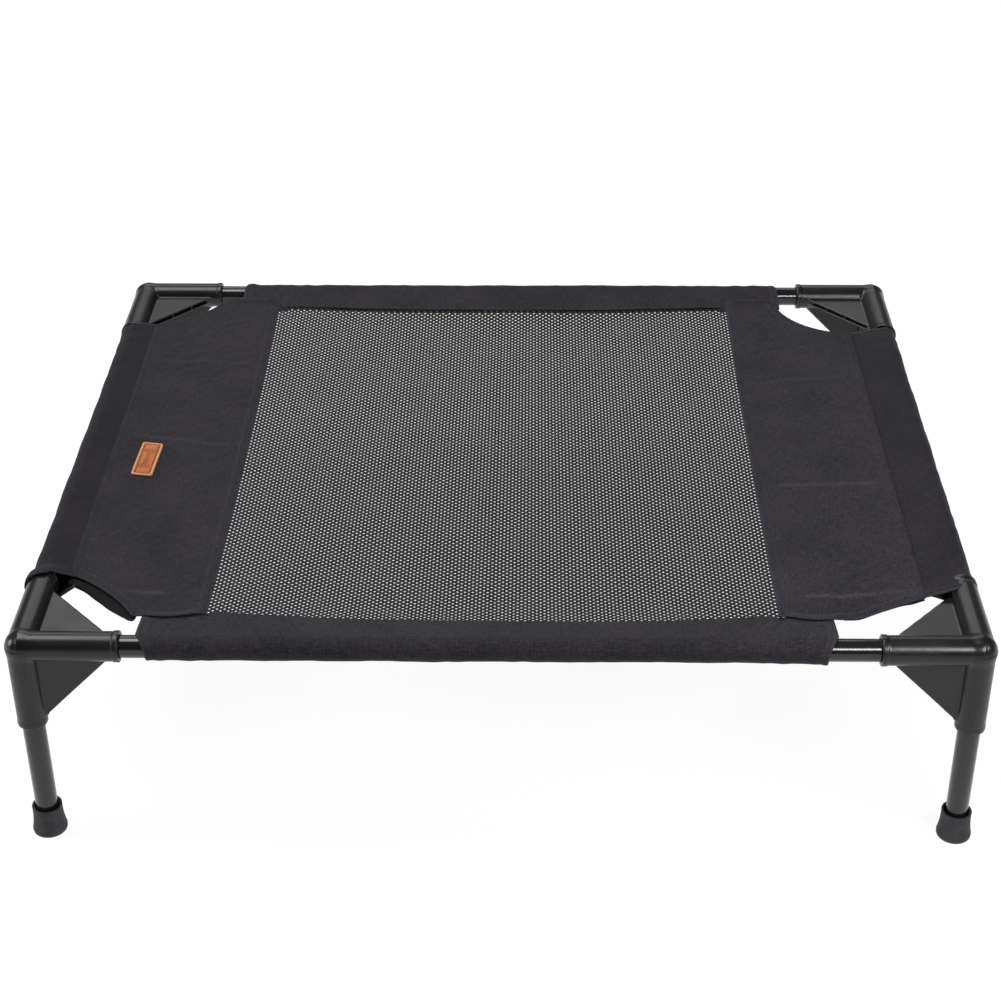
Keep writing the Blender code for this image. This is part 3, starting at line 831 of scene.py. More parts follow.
tube = {"wall": 0.0010, "edge": 0.00035}
boot = {
    "height": 0.025, "top": 0.0120, "waist": 0.0122, "base": 0.0141, "floor": 0.005, "bore": 0.0093,
    "mouth": 0.0103, "mouthDepth": 0.0022, "treadStart": 0.0022, "treadWidth": 0.0017, "treadDepth": 0.0006,
    "treadSlope": 0.0003, "treadEdge": 0.0002}


# A tube between two places along its axis, with slightly rounded ends
def tubeProfile(low, high):
    inner, edge = tubeRadius - tube["wall"], tube["edge"]
    rows = [(inner, (low + high) / 2, 0), (inner, low, edge), (tubeRadius, low, edge),
            (tubeRadius, high, edge), (inner, high, edge), (inner, (low + high) / 2 + millimetre, 0)]
    return roundedProfile(rows, 4)


def addRails():
    runs = [(end, (0, sign * axisY, axisZ), 0) for end, sign in ends.items()]
    runs += [(side, (sign * axisX, 0, axisZ), 1) for side, sign in sides.items()]
    for name, place, axis in runs:
        low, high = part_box("rail_" + name)
        rail = turnedPiece(
            name + "_rail_tube", tubeProfile(low[axis], high[axis]), place, coatedSteel, axis=axis)
        settlePiece(rail, "frame", "rail_" + name)


# The boot's profile: ringed tread underneath, flared foot, waist, and a mouth chamfered round the tube
def bootProfile():
    b = boot
    deep, slope, edge = b["treadDepth"], b["treadSlope"], b["treadEdge"]
    rows = [(0, deep, 0)]
    for ring in range(3):
        inner = b["treadStart"] + 2 * ring * b["treadWidth"]
        rows += [(inner, deep, edge), (inner + slope, 0, edge),
                 (inner + b["treadWidth"], 0, edge), (inner + b["treadWidth"] + slope, deep, edge)]
    rows += [
        (b["base"] - 0.0014, deep, edge), (b["base"] - 0.0012, 0, edge),
        (b["base"] - 0.0004, 0, 0.0005), (b["base"], 0.0028, 0.0012), (b["base"] - 0.0007, 0.0052, 0.0020),
        (b["waist"], 0.55 * b["height"], 0.0040), (b["top"], b["height"] - 0.0020, 0.0010),
        (b["top"] + 0.0002, b["height"], 0.0006), (b["mouth"], b["height"], 0.0004),
        (b["bore"], b["height"] - b["mouthDepth"], 0.0006), (b["bore"], b["floor"], 0.0003),
        (0, b["floor"], 0)]
    return roundedProfile(rows, 4)


def addLegs():
    profile = bootProfile()
    for end, endSign in ends.items():
        for side, sideSign in sides.items():
            corner = f"{end}_{side}"
            place = (sideSign * axisX, endSign * axisY, 0)
            low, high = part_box("leg_tube_" + corner)
            leg = turnedPiece(corner + "_leg", tubeProfile(low.z, high.z), place, coatedSteel)
            settlePiece(leg, "leg_" + corner, "leg_tube_" + corner)
            foot = turnedPiece(corner + "_boot", profile, place, rubber)
            settlePiece(foot, "leg_" + corner, "rubber_foot_" + corner)


addRails()
addLegs()
print("tubes and boots turned")


# The sling: two panels of Oxford with a mesh between them, a sleeve round each rail, and a lining under each
# corner

sling = {
    "cloth": 0.0009, "hemWidth": 0.0082, "hemThick": 0.0017, "stitchIn": 0.0062, "seamHeight": 0.190,
    "sag": 0.014, "fall": 2.4, "dip": 0.0045, "dipReach": 0.045, "dipOverlap": 0.01, "dipFade": 0.14,
    "waves": 0.0005}
# Depth along X, depth along Y and roundness of each corner's curve
cuts = {
    "front_left": (0.063, 0.064, 1.35), "front_right": (0.068, 0.038, 1.10),
    "back_left": (0.062, 0.052, 1.35), "back_right": (0.069, 0.066, 1.80)}
# Folds from packing: (x, y) of both ends, height and half width of each ridge
folds = [
    ((-0.346, -0.2285), (-0.262, -0.2345), 0.00045, 0.0018),
    ((0.236, -0.2350), (0.334, -0.2290), 0.00045, 0.0018),
    ((-0.346, 0.0120), (-0.236, 0.0060), 0.00020, 0.0024),
    ((0.224, -0.0600), (0.334, -0.0640), 0.00024, 0.0024),
    ((-0.346, 0.1500), (-0.236, 0.1560), 0.00010, 0.0028),
    ((0.224, 0.1200), (0.334, 0.1260), 0.00012, 0.0028)]


# Level with its seams at the rails and lowest in the middle, with a dip in the mesh just inside its front and
# back seams
def slingHeight(x, y):
    middle = (seamX["left"] + seamX["right"]) / 2
    half = (seamX["right"] - seamX["left"]) / 2
    along = np.maximum(1 - np.abs((x - middle) / half) ** sling["fall"], 0.0)
    across = np.maximum(1 - np.abs(y / seamY) ** sling["fall"], 0.0)
    inward = np.maximum(seamY - np.abs(y), 0.0) / sling["dipReach"]
    overlap, fade = sling["dipOverlap"], sling["dipFade"]
    over = smoothStep(meshEdge["left"] - overlap, meshEdge["left"] + fade, x)
    over = over * (1 - smoothStep(meshEdge["right"] - fade, meshEdge["right"] + overlap, x))
    dip = sling["dip"] * over * inward * np.exp(1 - inward)
    return sling["seamHeight"] - sling["sag"] * along * across - dip


# How far the corner's curve stands in from the front or back seam at that x
def cutDepth(x, corner):
    deepX, deepY, power = cuts[corner]
    share = np.clip(np.abs(x - seamX[corner.split("_")[1]]) / deepX, 0.0, 1.0)
    return deepY * (1 - share ** power) ** (1 / power)


# Ridges along the packing folds: their height, and 0 to 1 for how much lighter the cloth is painted there, as
# highlight and wear along the ridge
def foldRidges(x, y):
    height, highlitAndRubbed = np.zeros(x.shape), np.zeros(x.shape)
    for start, end, tall, width in folds:
        start, end = np.array(start), np.array(end)
        length = np.linalg.norm(end - start)
        ahead = (end - start) / length
        run = ((x - start[0]) * ahead[0] + (y - start[1]) * ahead[1]) / length
        off = (x - start[0]) * -ahead[1] + (y - start[1]) * ahead[0]
        off = off + 0.0012 * wander(x, y, 0.04, int(1e4 * tall) + int(abs(1e3 * start[1])))
        ridge = np.exp(-(off / width) ** 2) * smoothStep(-0.02, 0.12, run) * (1 - smoothStep(0.85, 1.02, run))
        height = height + tall * ridge
        highlitAndRubbed = np.maximum(highlitAndRubbed, ridge * tall / folds[0][2])
    return height, highlitAndRubbed


stitch = {"pitch": 0.0036, "length": 0.0027, "radius": 0.00032, "sides": 6, "shoulder": (0.78, 0.75)}


# A row of sewn stitches along each path: each is a short bead, round in section and pointed at both ends
def stitchPiece(name, runs):
    at, narrower = stitch["shoulder"]
    stations = np.array([(-at, narrower), (0.0, 1.0), (at, narrower)])
    around = stitch["sides"]
    angle = np.linspace(0, 2 * np.pi, around, endpoint=False)
    places, aheads = zip(*[walkAlong(run, stitch["pitch"]) for run in runs])
    place, ahead = np.concatenate(places), np.concatenate(aheads)
    side = unit(np.cross(ahead, (0.0, 0.0, 1.0)))
    up = np.cross(side, ahead)
    half, count, rows = stitch["length"] / 2, len(place), len(stations)
    ring = np.cos(angle)[:, None, None] * side + np.sin(angle)[:, None, None] * up
    rings = [place + ahead * half * at + ring * stitch["radius"] * wide for at, wide in stations]
    body = np.stack(rings, axis=0).transpose(2, 0, 1, 3).reshape(count, -1, 3)
    tips = np.stack([place - ahead * half, place + ahead * half], axis=1)
    points = np.concatenate([body, tips], axis=1)
    quads = gridFaces(rows, around, closeColumns=True)[:, ::-1]
    column = np.arange(around)
    after, last = (column + 1) % around, (rows - 1) * around
    tail = np.stack([np.full(around, rows * around), column, after], axis=1)
    nose = np.stack([last + after, last + column, np.full(around, rows * around + 1)], axis=1)
    offset = np.arange(count)[:, None, None] * points.shape[1]
    faceSets = [(faces[None] + offset).reshape(-1, faces.shape[1]) for faces in (quads, tail, nose)]
    piece = makePiece(name, points.reshape(-1, 3), faceSets, thread)
    return settlePiece(piece, "frame")


# rowsNearHem is the first, the end and the step of the extra rows, and calm is where, in from the border, the
# cloth's waves begin and are full
panel = {
    "columnStep": 0.0016, "rowStep": 0.0030, "cutColumns": 46, "round": 0.0005, "puff": 0.0022,
    "puffReach": 0.006, "puffStart": 0.012, "atCurve": {"front": 0.267, "back": 0.276},
    "atMesh": {"front": 0.2615, "back": 0.276}, "swell": {"front": 0.0055, "back": 0.0024}, "turn": 0.003,
    "rowsNearHem": (0.0012, 0.012, 0.0011), "rumple": 0.00016, "calm": (0.004, 0.03), "sewnIn": 0.00045,
    "pucker": 0.00014, "lighterShare": {"fold": 0.8, "edge": 0.35, "hem": 0.2}, "seed": {"left": 11, "right": 23},
    "meshRows": {"left": (0.0, 0.0022), "right": (0.0,)}, "seamRow": 0.0026}


# The outline of a panel's front or back: the corner's curve, then an edge that swells over the sleeve on its
# way to the mesh, with a small rounded turn between them
def panelBorder(x, end, side):
    deepX = cuts[f"{end}_{side}"][0]
    inner = abs(meshEdge[side] - seamX[side])
    share = np.clip((np.abs(x - seamX[side]) - deepX) / (inner - deepX), 0.0, 1.0)
    atCurve, atMesh = panel["atCurve"][end], panel["atMesh"][end]
    limit = atCurve + (atMesh - atCurve) * share + panel["swell"][end] * np.sin(np.pi * share)
    curve = seamY - gap - cutDepth(x, f"{end}_{side}")
    return ends[end] * joinShapes(curve, limit, panel["turn"])


# A panel's grid across: columns close together at both edges and where a corner's curve is steep
def panelColumns(side, width, deep):
    near = panel["round"]
    swing = np.linspace(0.03, np.pi / 2, panel["cutColumns"])
    curved = near + (deep - near) * np.sin(swing)
    plain = np.arange(deep + panel["columnStep"], width - near - 0.0008, panel["columnStep"])
    close = near * closeShares
    inward = np.concatenate([close, [near], curved, plain, [width - near], width - close[::-1]])
    x = seamX[side] - sides[side] * inward
    return x[::-1] if side == "right" else x


# A panel's grid along, 0 to 1: rows close together in both hems
def panelRows():
    span, hemStart, hemEnd = 2 * seamY, panel["rowsNearHem"][0] - 0.0001, panel["rowsNearHem"][1]
    v = spacedOut(0.0, span, panel["rowStep"], panel["round"]) / span
    atEdge = (v < hemStart / span) | (v > 1 - hemStart / span)
    inside = (v > hemEnd / span) & (v < 1 - hemEnd / span)
    hemRows = np.arange(*panel["rowsNearHem"])
    return np.unique(np.concatenate([v[atEdge | inside], np.concatenate([hemRows, span - hemRows]) / span]))


# A panel is a grid between its front and back outlines: doubled at its hems, swollen over the end sleeves and
# ridged at its folds
def panelSurface(side):
    width = abs(meshEdge[side] - seamX[side]) - gap
    deep = max(cuts["front_" + side][0], cuts["back_" + side][0]) + 0.0005
    x, v = panelColumns(side, width, deep), panelRows()
    front, back = panelBorder(x, "front", side), panelBorder(x, "back", side)
    X = np.broadcast_to(x[None, :], (len(v), len(x)))
    Y = front[None, :] + v[:, None] * (back - front)[None, :]
    fine = np.unique(np.concatenate([np.linspace(x[0], x[-1], 260), x]))
    edges = {end: np.stack([fine, panelBorder(fine, end, side)], axis=1) for end in ends}
    toFront = distanceToPath(X, Y, edges["front"])
    toBack = distanceToPath(X, Y, edges["back"])
    toSeam, toMesh = np.abs(X - seamX[side]), np.abs(X - seamX[side] + sides[side] * width)
    border = np.minimum(np.minimum(toFront, toBack), np.minimum(toSeam, toMesh))
    ridge, highlitAndRubbed = foldRidges(X, Y)
    calm = smoothStep(*panel["calm"], border)
    Z = slingHeight(X, Y) + ridge * calm
    Z = Z + sling["waves"] * wander(X, Y, 0.085, panel["seed"][side]) * calm
    Z = Z + panel["rumple"] * wander(X, Y, 0.012, 5) * calm
    offCurve = smoothStep(deep - 0.004, deep + 0.012, np.abs(X - seamX[side]))
    for toEnd in (toFront, toBack):
        near = np.exp(-(toEnd / panel["puffReach"]) ** 2)
        Z = Z + panel["puff"] * offCurve * near * smoothStep(0, panel["puffStart"], toMesh)
    hem = 1 - smoothStep(sling["hemWidth"] - 0.0006, sling["hemWidth"] + 0.0006, border)
    fromStitch = border - sling["stitchIn"]
    pucker = panel["pucker"] * np.sin((X + Y) * 2 * np.pi / stitch["pitch"])
    pucker = pucker * np.exp(-(fromStitch / 0.002) ** 2)
    thick = sling["cloth"] + (sling["hemThick"] - sling["cloth"]) * hem
    thick = thick - panel["sewnIn"] * np.exp(-(fromStitch / 0.0006) ** 2) + pucker
    thick = roundedEdge(border, thick)
    # Lighter at the edges, along the hem's inner edge and on the fold ridges: painted highlight and wear
    highlightAndRub = panel["lighterShare"]
    lighterShare = highlightAndRub["edge"] * np.exp(-(border / 0.0010) ** 2)
    lighterShare = lighterShare + highlightAndRub["hem"] * np.exp(-((border - sling["hemWidth"]) / 0.0008) ** 2)
    lighterShare = highlightAndRub["fold"] * highlitAndRubbed * calm + lighterShare * smoothStep(0.002, 0.010, toSeam)
    return np.stack([X, Y, Z], axis=-1), thick, np.clip(lighterShare, 0, 1)


# A row of points on the panel's top, ready to be sewn
def onPanel(x, y):
    return np.stack([x, y, slingHeight(x, y) + sling["hemThick"] / 2 - 0.0002], axis=1)


# Stitches a set distance in from the panel's border: along its front and back, the mesh side and the
# sleeve's seam
def panelStitches(side):
    runs = []
    inset = sling["stitchIn"]
    width = abs(meshEdge[side] - seamX[side]) - gap
    inner = seamX[side] - sides[side] * width
    for end, endSign in ends.items():
        swing = np.linspace(0.02, np.pi / 2, 160)
        deep = cuts[f"{end}_{side}"][0]
        reach = np.concatenate([deep * np.sin(swing), np.linspace(deep + 0.001, width, 60)])
        x = seamX[side] - sides[side] * reach
        y = panelBorder(x, end, side)
        away = crossways(np.stack([x, y], axis=1))
        away = np.where((away[:, 1] * endSign > 0)[:, None], -away, away)
        x, y = x + inset * away[:, 0], y + inset * away[:, 1]
        keep = (np.abs(x - seamX[side]) > inset) & (np.abs(x - inner) > inset)
        runs.append(onPanel(x, y)[keep])
    frontEnd, backEnd = (panelBorder(np.array([inner]), end, side)[0] for end in ends)
    for inward in panel["meshRows"][side]:
        y = np.linspace(frontEnd + inset, backEnd - inset, 300)
        runs.append(onPanel(np.full(y.shape, inner + sides[side] * (inset - inward)), y))
    y = np.linspace(-seamY + cuts["front_" + side][1] + inset, seamY - cuts["back_" + side][1] - inset, 240)
    runs.append(onPanel(np.full(y.shape, seamX[side] - sides[side] * panel["seamRow"]), y))
    return stitchPiece(side + "_panel_stitches", runs)


def addPanels():
    for side in sides:
        middle, thick, lighterShare = panelSurface(side)
        piece = clothPiece(side + "_oxford_panel", middle, thick, oxford, middle[..., :2], lighterShare)
        settlePiece(piece, "frame", side + "_panel")
        stitches = panelStitches(side)
        print(side, "panel", len(piece.data.vertices), "points")


mesh = {
    "cell": (0.00606, 0.0053), "hole": (0.00106, 0.00088), "thick": 0.0012, "rim": 0.0002, "sway": 0.0004,
    "tuck": 0.004, "inset": {"front": 0.0045, "back": 0.012},
    "bowAt": 0.060, "bowLeft": 0.12, "bowRight": 0.33}


# How far the mesh's visible edge stands in from the seam: level at the back, and bowed at the front, where it
# comes nearest to the rail a little right of the middle
def meshInset(x, end):
    if end == "back":
        return mesh["inset"][end] + 0 * x
    bow = np.where(x < mesh["bowAt"], mesh["bowLeft"], mesh["bowRight"])
    return mesh["inset"][end] + bow * (x - mesh["bowAt"]) ** 2


# Open knit: holes staggered row by row, each in a diamond cell whose four corners are the knots. The knots
# stand up and down from the middle surface and the yarn slopes from them to the holes' rims; a thin wall
# closes the border. It is made in two halves that meet exactly, so that each stays light.
def addMesh():
    halfCell = np.array(mesh["cell"]) / 2
    low = np.array([meshEdge["left"] - mesh["tuck"], -seamY + mesh["inset"]["front"] - mesh["tuck"]])
    high = np.array([meshEdge["right"] + mesh["tuck"], seamY - mesh["inset"]["back"] + mesh["tuck"]])
    columns, rows = ((high - low) / halfCell).astype(int)
    first = (low + high) / 2 - (np.array([columns, rows]) - 1) / 2 * halfCell
    i, j = np.meshgrid(np.arange(columns), np.arange(rows), indexing="ij")
    staggered = (i + j) % 2 == 0
    hole = np.stack([i[staggered], j[staggered]], axis=1)
    around = np.array([(1, 0), (0, 1), (-1, 0), (0, -1)])
    knots, back, shared = np.unique(
        (hole[:, None] + around).reshape(-1, 2), axis=0, return_inverse=True, return_counts=True)
    knot = first + knots * halfCell
    rim = (first + hole * halfCell)[:, None] + around * mesh["hole"]
    rise = np.where(shared == 4, mesh["thick"] / 2, mesh["rim"])
    flat = np.concatenate([knot, knot, rim.reshape(-1, 2)])
    lift = np.concatenate([rise, -rise, np.zeros(rim.size // 2)])
    sway = mesh["sway"] * wander(flat[:, 0], flat[:, 1], 0.09, 31)
    points = np.column_stack([flat, slingHeight(flat[:, 0], flat[:, 1]) + lift + sway])
    knotA, rimA = back.reshape(-1, 4), 2 * len(knot) + np.arange(rim.size // 2).reshape(-1, 4)
    knotB, rimB = np.roll(knotA, -1, axis=1), np.roll(rimA, -1, axis=1)
    for side in sides:
        mine = (hole[:, 0] < columns / 2) == (side == "left")
        upper = np.stack([knotA[mine], knotB[mine], rimB[mine], rimA[mine]], axis=-1).reshape(-1, 4)
        lower = np.stack([knotB[mine] + len(knot), knotA[mine] + len(knot), rimA[mine], rimB[mine]], axis=-1)
        start, end = upper[:, 0], upper[:, 1]
        _, edge, uses = np.unique(
            np.sort(upper[:, :2], axis=1), axis=0, return_inverse=True, return_counts=True)
        outer = uses[edge.ravel()] == 1
        wall = np.stack([end, start, start + len(knot), end + len(knot)], axis=1)[outer]
        faces = np.concatenate([upper, lower.reshape(-1, 4), wall])
        used, faces = np.unique(faces, return_inverse=True)
        piece = makePiece(side + "_mesh_half", points[used], [faces.reshape(-1, 4)], yarn, uv=flat[used])
        settlePiece(piece, "frame", "mesh_panel")
        print(side, "mesh half", int(mine.sum()), "holes", 2 * len(faces) // 4, "triangles")


sleeve = {
    "loose": 0.0004, "wrinkle": 0.00035, "tuck": 0.006, "under": 0.0013, "alongStep": 0.0030, "arcPoints": 40,
    "span": {"front": (-0.280, 0.260), "back": (-0.268, 0.272)}, "overMesh": 0.0010, "endLoose": 0.0003,
    "endHem": 0.006, "hemExtra": 0.0010, "sewnIn": 0.0005, "lighterShare": {"edge": 0.5, "hem": 0.25},
    "slant": 0.0085, "slantOver": (0.14, 0.52), "slantFade": 0.06, "seamOver": 0.30,
    "flare": {"front_left": 0.0042, "front_right": 0.0012, "back_left": 0.0008, "back_right": 0.0},
    "flareStart": 0.006, "flareLength": 0.012,
    "overlap": {"front_left": 0.0085, "front_right": 0.0085, "back_left": -0.0008, "back_right": -0.0012}}


# A sleeve's section at each place along its rail: from its inner edge straight to the rail, round it on an arc,
# and straight back underneath. insideX and insideZ are the inner edge from the rail's axis, radius is the
# cloth's there, and straight gives the points of the flat parts, 0 to 1.
def sleeveSection(insideX, insideZ, radius, straight):
    far = np.hypot(insideX, insideZ)
    start = np.arctan2(insideZ, insideX) + np.arccos(radius / far)
    lowZ = insideZ - 2 * sleeve["under"]
    farLow = np.hypot(insideX, lowZ)
    end = np.arctan2(lowZ, insideX) - np.arccos(radius / farLow) + 2 * np.pi
    angle = start + (end - start) * np.linspace(0, 1, sleeve["arcPoints"])[:, None]
    arcX, arcZ = radius * np.cos(angle), radius * np.sin(angle)
    share = straight[:, None]
    overX, overZ = insideX + (arcX[0] - insideX) * share, insideZ + (arcZ[0] - insideZ) * share
    underX, underZ = arcX[-1] + (insideX - arcX[-1]) * share, arcZ[-1] + (lowZ - arcZ[-1]) * share
    return np.concatenate([overX, arcX[1:-1], underX]), np.concatenate([overZ, arcZ[1:-1], underZ])


# The cloth's radius round its rail, a little loose here and there
def clothRadius(along, seed):
    slack = 0.6 + 0.5 * wander(along, 0 * along, 0.05, seed)
    return tubeRadius + gap + sling["cloth"] / 2 + sleeve["loose"] * slack


# A section with wrinkles that run round the rail, stronger near both ends; the third result is 0 to 1 along
# the section
def wrinkledSection(insideX, insideZ, radius, straight, along, toEnd, seed):
    a, b = sleeveSection(insideX, insideZ, radius, straight)
    section = np.linspace(0, 1, len(a))[:, None]
    slanted = wander(along[None, :], section * 0.03, 0.016, seed)
    broad = wander(along[None, :], section * 0.05, 0.06, seed + 1)
    near = 0.4 + 1.8 * np.exp(-toEnd[None, :] / 0.025)
    swell = sleeve["wrinkle"] * (slanted * near + 0.7 * broad)
    away = np.maximum(np.hypot(a, b), 1e-6)
    out = swell * np.sin(np.pi * section) ** 0.5 * (away < 0.03)
    return a + a / away * out, b + b / away * out, section


# Turns a section grid about its rail into cloth, hemmed and rounded at both ends; u is 0 to 1 along the rail
def sleevePiece(rail, place, u, material):
    steps = np.linalg.norm(np.diff(place, axis=0), axis=-1)
    run = np.concatenate([np.zeros((1, place.shape[1])), np.cumsum(steps, axis=0)])
    along = place[..., 0] if rail in ends else place[..., 1]
    length = np.ptp(along, axis=1, keepdims=True)
    toEnd = np.minimum(u, 1 - u)[None, :] * length
    border = np.minimum(toEnd, np.minimum(run, run[-1:] - run))
    hem = 1 - smoothStep(sleeve["endHem"] - 0.0006, sleeve["endHem"] + 0.0006, toEnd)
    sewn = np.exp(-((toEnd - sleeve["endHem"] + 0.0012) / 0.0006) ** 2)
    thick = sling["cloth"] + sleeve["hemExtra"] * hem - sleeve["sewnIn"] * sewn
    thick = roundedEdge(border, thick)
    # Lighter at the ends and along the hem: painted highlight and wear
    highlightAndRub = sleeve["lighterShare"]
    lighterShare = highlightAndRub["edge"] * np.exp(-(toEnd / 0.0012) ** 2)
    lighterShare = lighterShare + highlightAndRub["hem"] * np.exp(-((toEnd - sleeve["endHem"]) / 0.0008) ** 2)
    uv = np.stack([along, run], axis=-1)
    piece = clothPiece(rail + "_sleeve_cloth", place, thick, material, uv, np.clip(lighterShare, 0, 1))
    settlePiece(piece, "frame", rail + "_sleeve")
    print(rail, "sleeve", len(piece.data.vertices), "points")


# The front and back sleeves meet the panels and the mesh, and their ends are cut at a slant
def addEndSleeves():
    straight = spacedOut(0, 1, 0.11, 0.03)
    for end, endSign in ends.items():
        low, high = sleeve["span"][end]
        u = spacedOut(0.0, high - low, sleeve["alongStep"]) / (high - low)
        x = low + u * (high - low)
        inMesh = smoothStep(meshEdge["left"], meshEdge["left"] + 0.005, x)
        inMesh = inMesh * (1 - smoothStep(meshEdge["right"] - 0.005, meshEdge["right"], x))
        insideY = seamY - meshInset(x, end) - 0.001
        lift = -sleeve["under"] + (sleeve["under"] + sleeve["overMesh"]) * inMesh
        insideZ = slingHeight(x, insideY * endSign) + lift - axisZ
        toEnd = np.minimum(u, 1 - u) * (high - low)
        radius = clothRadius(x, 41 + endSign) + sleeve["endLoose"] * np.exp(-toEnd / 0.008)
        a, b, section = wrinkledSection(axisY - insideY, insideZ, radius, straight, x, toEnd, 51 + endSign)
        slant = sleeve["slant"] * smoothStep(*sleeve["slantOver"], section) * (1 - 2 * u[None, :])
        X = x[None, :] + slant * np.exp(-toEnd[None, :] / sleeve["slantFade"])
        place = np.stack([X + 0 * a, endSign * (axisY - a), axisZ + b], axis=-1)
        if endSign > 0:
            place, u = place[:, ::-1], u[::-1]
        sleevePiece(end, place, u, oxford)


# The side sleeves reach from corner curve to corner curve at their seam, and flare over the elbows' mouths
def addSideSleeves():
    straight = spacedOut(0, 1, 0.16, 0.04)
    mouth = axisY - arms[1]
    for side, sideSign in sides.items():
        front, back = "front_" + side, "back_" + side
        u = spacedOut(0.0, 2 * mouth, sleeve["alongStep"]) / (2 * mouth)
        flatY = -mouth + u * 2 * mouth
        reach = abs(axisX - abs(seamX[side])) + sleeve["tuck"]
        insideZ = slingHeight(sideSign * (axisX - reach), flatY) - sleeve["under"] - axisZ
        railFront, railBack = -mouth - sleeve["overlap"][front], mouth + sleeve["overlap"][back]
        toEnd = np.minimum(u, 1 - u) * (railBack - railFront)
        flare = 1 - smoothStep(sleeve["flareStart"], sleeve["flareStart"] + sleeve["flareLength"], toEnd)
        wide = np.where(flatY < 0, sleeve["flare"][front], sleeve["flare"][back])
        radius = clothRadius(flatY, 71 + sideSign) + wide * flare
        a, b, section = wrinkledSection(reach + 0 * u, insideZ, radius, straight, flatY, toEnd, 81 + sideSign)
        seamShare = 1 - smoothStep(0.0, sleeve["seamOver"], section)
        lowEnd = railFront + (-seamY + cuts[front][1] - railFront) * seamShare
        highEnd = railBack + (seamY - cuts[back][1] - railBack) * seamShare
        Y = lowEnd + (highEnd - lowEnd) * u[None, :]
        place = np.stack([sideSign * (axisX - a), Y + 0 * a, axisZ + b], axis=-1)
        if sideSign < 0:
            place, u = place[:, ::-1], u[::-1]
        sleevePiece(side, place, u, shadedSleeveOxford)


# For each corner: depth below its curve at the widest, how far it stands out there, how much of that is left
# at the side sleeve, and from where to where along the curve it narrows to nothing
liningShape = {
    "front_left": (0.0056, 0.0074, 0.80, 0.42, 1.0), "front_right": (0.0020, -0.0010, 1.0, 0.05, 0.28),
    "back_left": (0.0040, 0.0060, 0.5, 0.55, 1.0), "back_right": (0.0040, 0.0030, 0.5, 0.30, 0.80)}
facing = {"tuck": 0.0075, "tip": 0.0015, "below": 0.0012, "thick": 0.0006, "rumple": 0.0004, "taper": 0.7}


# A near-black strip, painted shade under the hem, that hangs from under each corner's hem, from inside the side
# sleeve to a point by the end sleeve
def addLinings():
    tuck, tip = facing["tuck"], facing["tip"]
    for corner, (drop, out, start, narrows, gone) in liningShape.items():
        end, side = corner.split("_")
        x = seamX[side] - sides[side] * cuts[corner][0] * np.sin(np.linspace(0.0, np.pi / 2, 90))
        y = panelBorder(x, end, side)
        curve = np.stack([x, y], axis=1)
        away = crossways(curve)
        away = np.where((away[:, 1] * ends[end] < -1e-9)[:, None], -away, away)
        share = np.linspace(0, 1, len(x))
        wide = start + (1 - start) * smoothStep(0.0, 0.45, share)
        wide = wide * (1 - smoothStep(narrows, gone, share)) ** facing["taper"]
        v = np.concatenate([[0.0, 0.03], np.linspace(0.1, 0.94, 12), [0.98, 1.0]])[:, None]
        offset = -tuck + ((out + tip) * wide - tip + tuck) * np.sin(0.5 * np.pi * v)
        fall = facing["below"] + drop * wide * (1 - np.cos(0.5 * np.pi * v))
        X, Y = x + away[:, 0] * offset, y + away[:, 1] * offset
        Z = slingHeight(x, y) - fall - 0.0004 + facing["rumple"] * v * wander(X, Y, 0.016, 7)
        middle = np.stack([X, Y, Z], axis=-1)
        run = np.concatenate([[0.0], np.cumsum(np.linalg.norm(np.diff(curve, axis=0), axis=1))])
        uv = np.stack([np.broadcast_to(run, X.shape), np.broadcast_to(v * (drop + out), X.shape)], axis=-1)
        if gridNormals(middle)[..., 2].mean() < 0:
            middle, uv = middle[:, ::-1], uv[:, ::-1]
        edge = np.minimum(np.minimum(v, 1 - v) * (drop + out), np.minimum(run, run[-1] - run)[None, :])
        thick = roundedEdge(edge, np.full(X.shape, facing["thick"]))
        piece = clothPiece(corner + "_lining", middle, thick, lining, uv, 0 * X)
        settlePiece(piece, "frame", "corner_facing_" + corner)


label = {
    "length": 0.054, "width": 0.0185, "thick": 0.0016, "corner": 0.0026, "rim": 0.0017, "groove": 0.0030,
    "step": 0.00042, "edgeStep": 0.0008, "turn": math.radians(-2), "boneLength": 0.025, "boneRadius": 0.0019,
    "knobRadius": 0.0029, "boneFillet": 0.001, "rimRise": 0.00018, "grooveDepth": 0.00035,
    "grooveWidth": 0.0004, "pressDepth": 0.0004, "grain": 0.00005, "softEdge": 0.0007, "under": 0.0001,
    "burntGroove": 0.7, "burntBone": 0.38, "paleRim": 0.75, "seamSquareness": 0.18}


# Puts flat label coordinates on the panel: turned about the label's centre
def labelPlace(u, v):
    low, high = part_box("leather_patch")
    turn = label["turn"]
    x = (low.x + high.x) / 2 + u * math.cos(turn) - v * math.sin(turn)
    y = (low.y + high.y) / 2 + u * math.sin(turn) + v * math.cos(turn)
    return x, y, slingHeight(x, y) + sling["cloth"] / 2


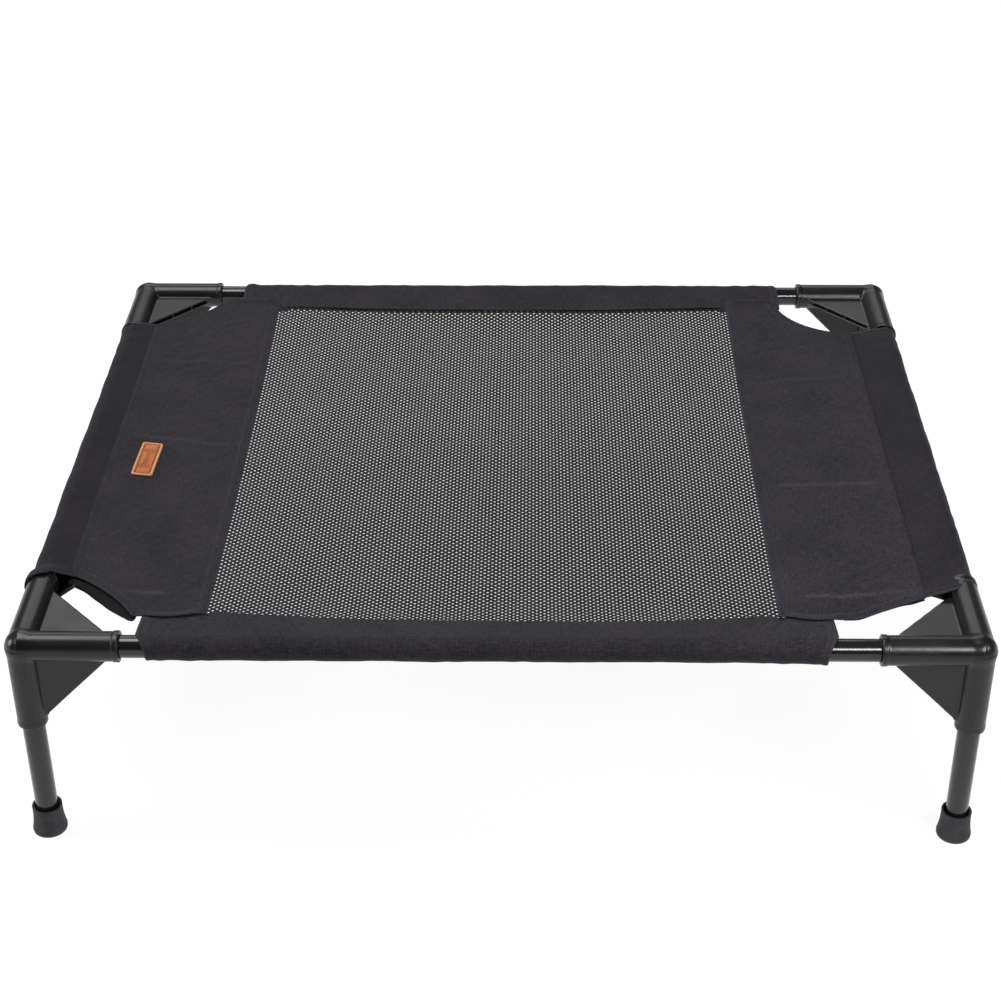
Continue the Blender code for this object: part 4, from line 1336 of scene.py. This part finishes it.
# A leather label: a rounded rectangle with a raised rim, a sewn groove inside it and a pressed bone in the
# middle
def addLabel():
    halfX, halfY, corner = label["width"] / 2, label["length"] / 2, label["corner"]
    U, V = np.meshgrid(spacedOut(-halfX, halfX, label["step"], label["edgeStep"]),
                       spacedOut(-halfY, halfY, label["step"], label["edgeStep"]))
    inX = np.clip((np.abs(U) - halfX + corner) / corner, 0, 1)
    inY = np.clip((np.abs(V) - halfY + corner) / corner, 0, 1)
    roundX = halfX - corner + corner * inX * np.sqrt(1 - inY ** 2 / 2)
    roundY = halfY - corner + corner * inY * np.sqrt(1 - inX ** 2 / 2)
    U, V = np.where(inX > 0, np.sign(U) * roundX, U), np.where(inY > 0, np.sign(V) * roundY, V)
    offX, offY = np.abs(U) - halfX + corner, np.abs(V) - halfY + corner
    outside = np.hypot(np.maximum(offX, 0), np.maximum(offY, 0)) + np.minimum(np.maximum(offX, offY), 0)
    border = corner - outside
    beyond = np.abs(V) - label["boneLength"] / 2
    shaft = np.hypot(U, np.maximum(beyond, 0)) - label["boneRadius"]
    knobs = np.hypot(np.abs(U) - label["knobRadius"] * 0.8, beyond - 0.0008) - label["knobRadius"]
    pressed = 1 - smoothStep(-0.0002, 0.0003, joinShapes(shaft, knobs, label["boneFillet"]))
    groove = np.exp(-((border - label["groove"]) / label["grooveWidth"]) ** 2)
    rim = 1 - smoothStep(label["rim"] - 0.0004, label["rim"] + 0.0004, border)
    soft = 1 - np.clip(border / label["edgeStep"], 0, 1)
    top = label["thick"] + label["rimRise"] * rim - label["grooveDepth"] * groove
    top = top - label["pressDepth"] * pressed + label["grain"] * wander(U, V, 0.004, 3)
    top = top - label["softEdge"] * (1 - np.sqrt(np.maximum(1 - soft ** 2, 0)))
    X, Y, base = labelPlace(U, V)
    base = base + label["under"]
    upper, lower = np.stack([X, Y, base + top], axis=-1), np.stack([X, Y, base], axis=-1)
    points = np.concatenate([upper.reshape(-1, 3), lower.reshape(-1, 3)])
    burnt = np.clip(label["burntGroove"] * groove + label["burntBone"] * pressed, 0, 1)
    paler = np.clip(label["paleRim"] * rim, 0, 1)
    piece = makePiece("leather_label", points, [closedFaces(*U.shape)], leather, attributes={
        "pressed": np.concatenate([burnt.ravel()] * 2), "lighterShare": np.concatenate([paler.ravel()] * 2)})
    settlePiece(piece, "frame", "leather_patch")
    angle = np.linspace(0, 2 * np.pi, 400)
    c, d, power = np.cos(angle), np.sin(angle), label["seamSquareness"]
    x, y, z = labelPlace((halfX - label["groove"]) * np.sign(c) * np.abs(c) ** power,
                         (halfY - label["groove"]) * np.sign(d) * np.abs(d) ** power)
    stitchPiece("label_stitches", [np.stack([x, y, z + label["thick"] - label["under"]], axis=1)])


addPanels()
addMesh()
addEndSleeves()
addSideSleeves()
addLinings()
addLabel()
print("sling sewn")
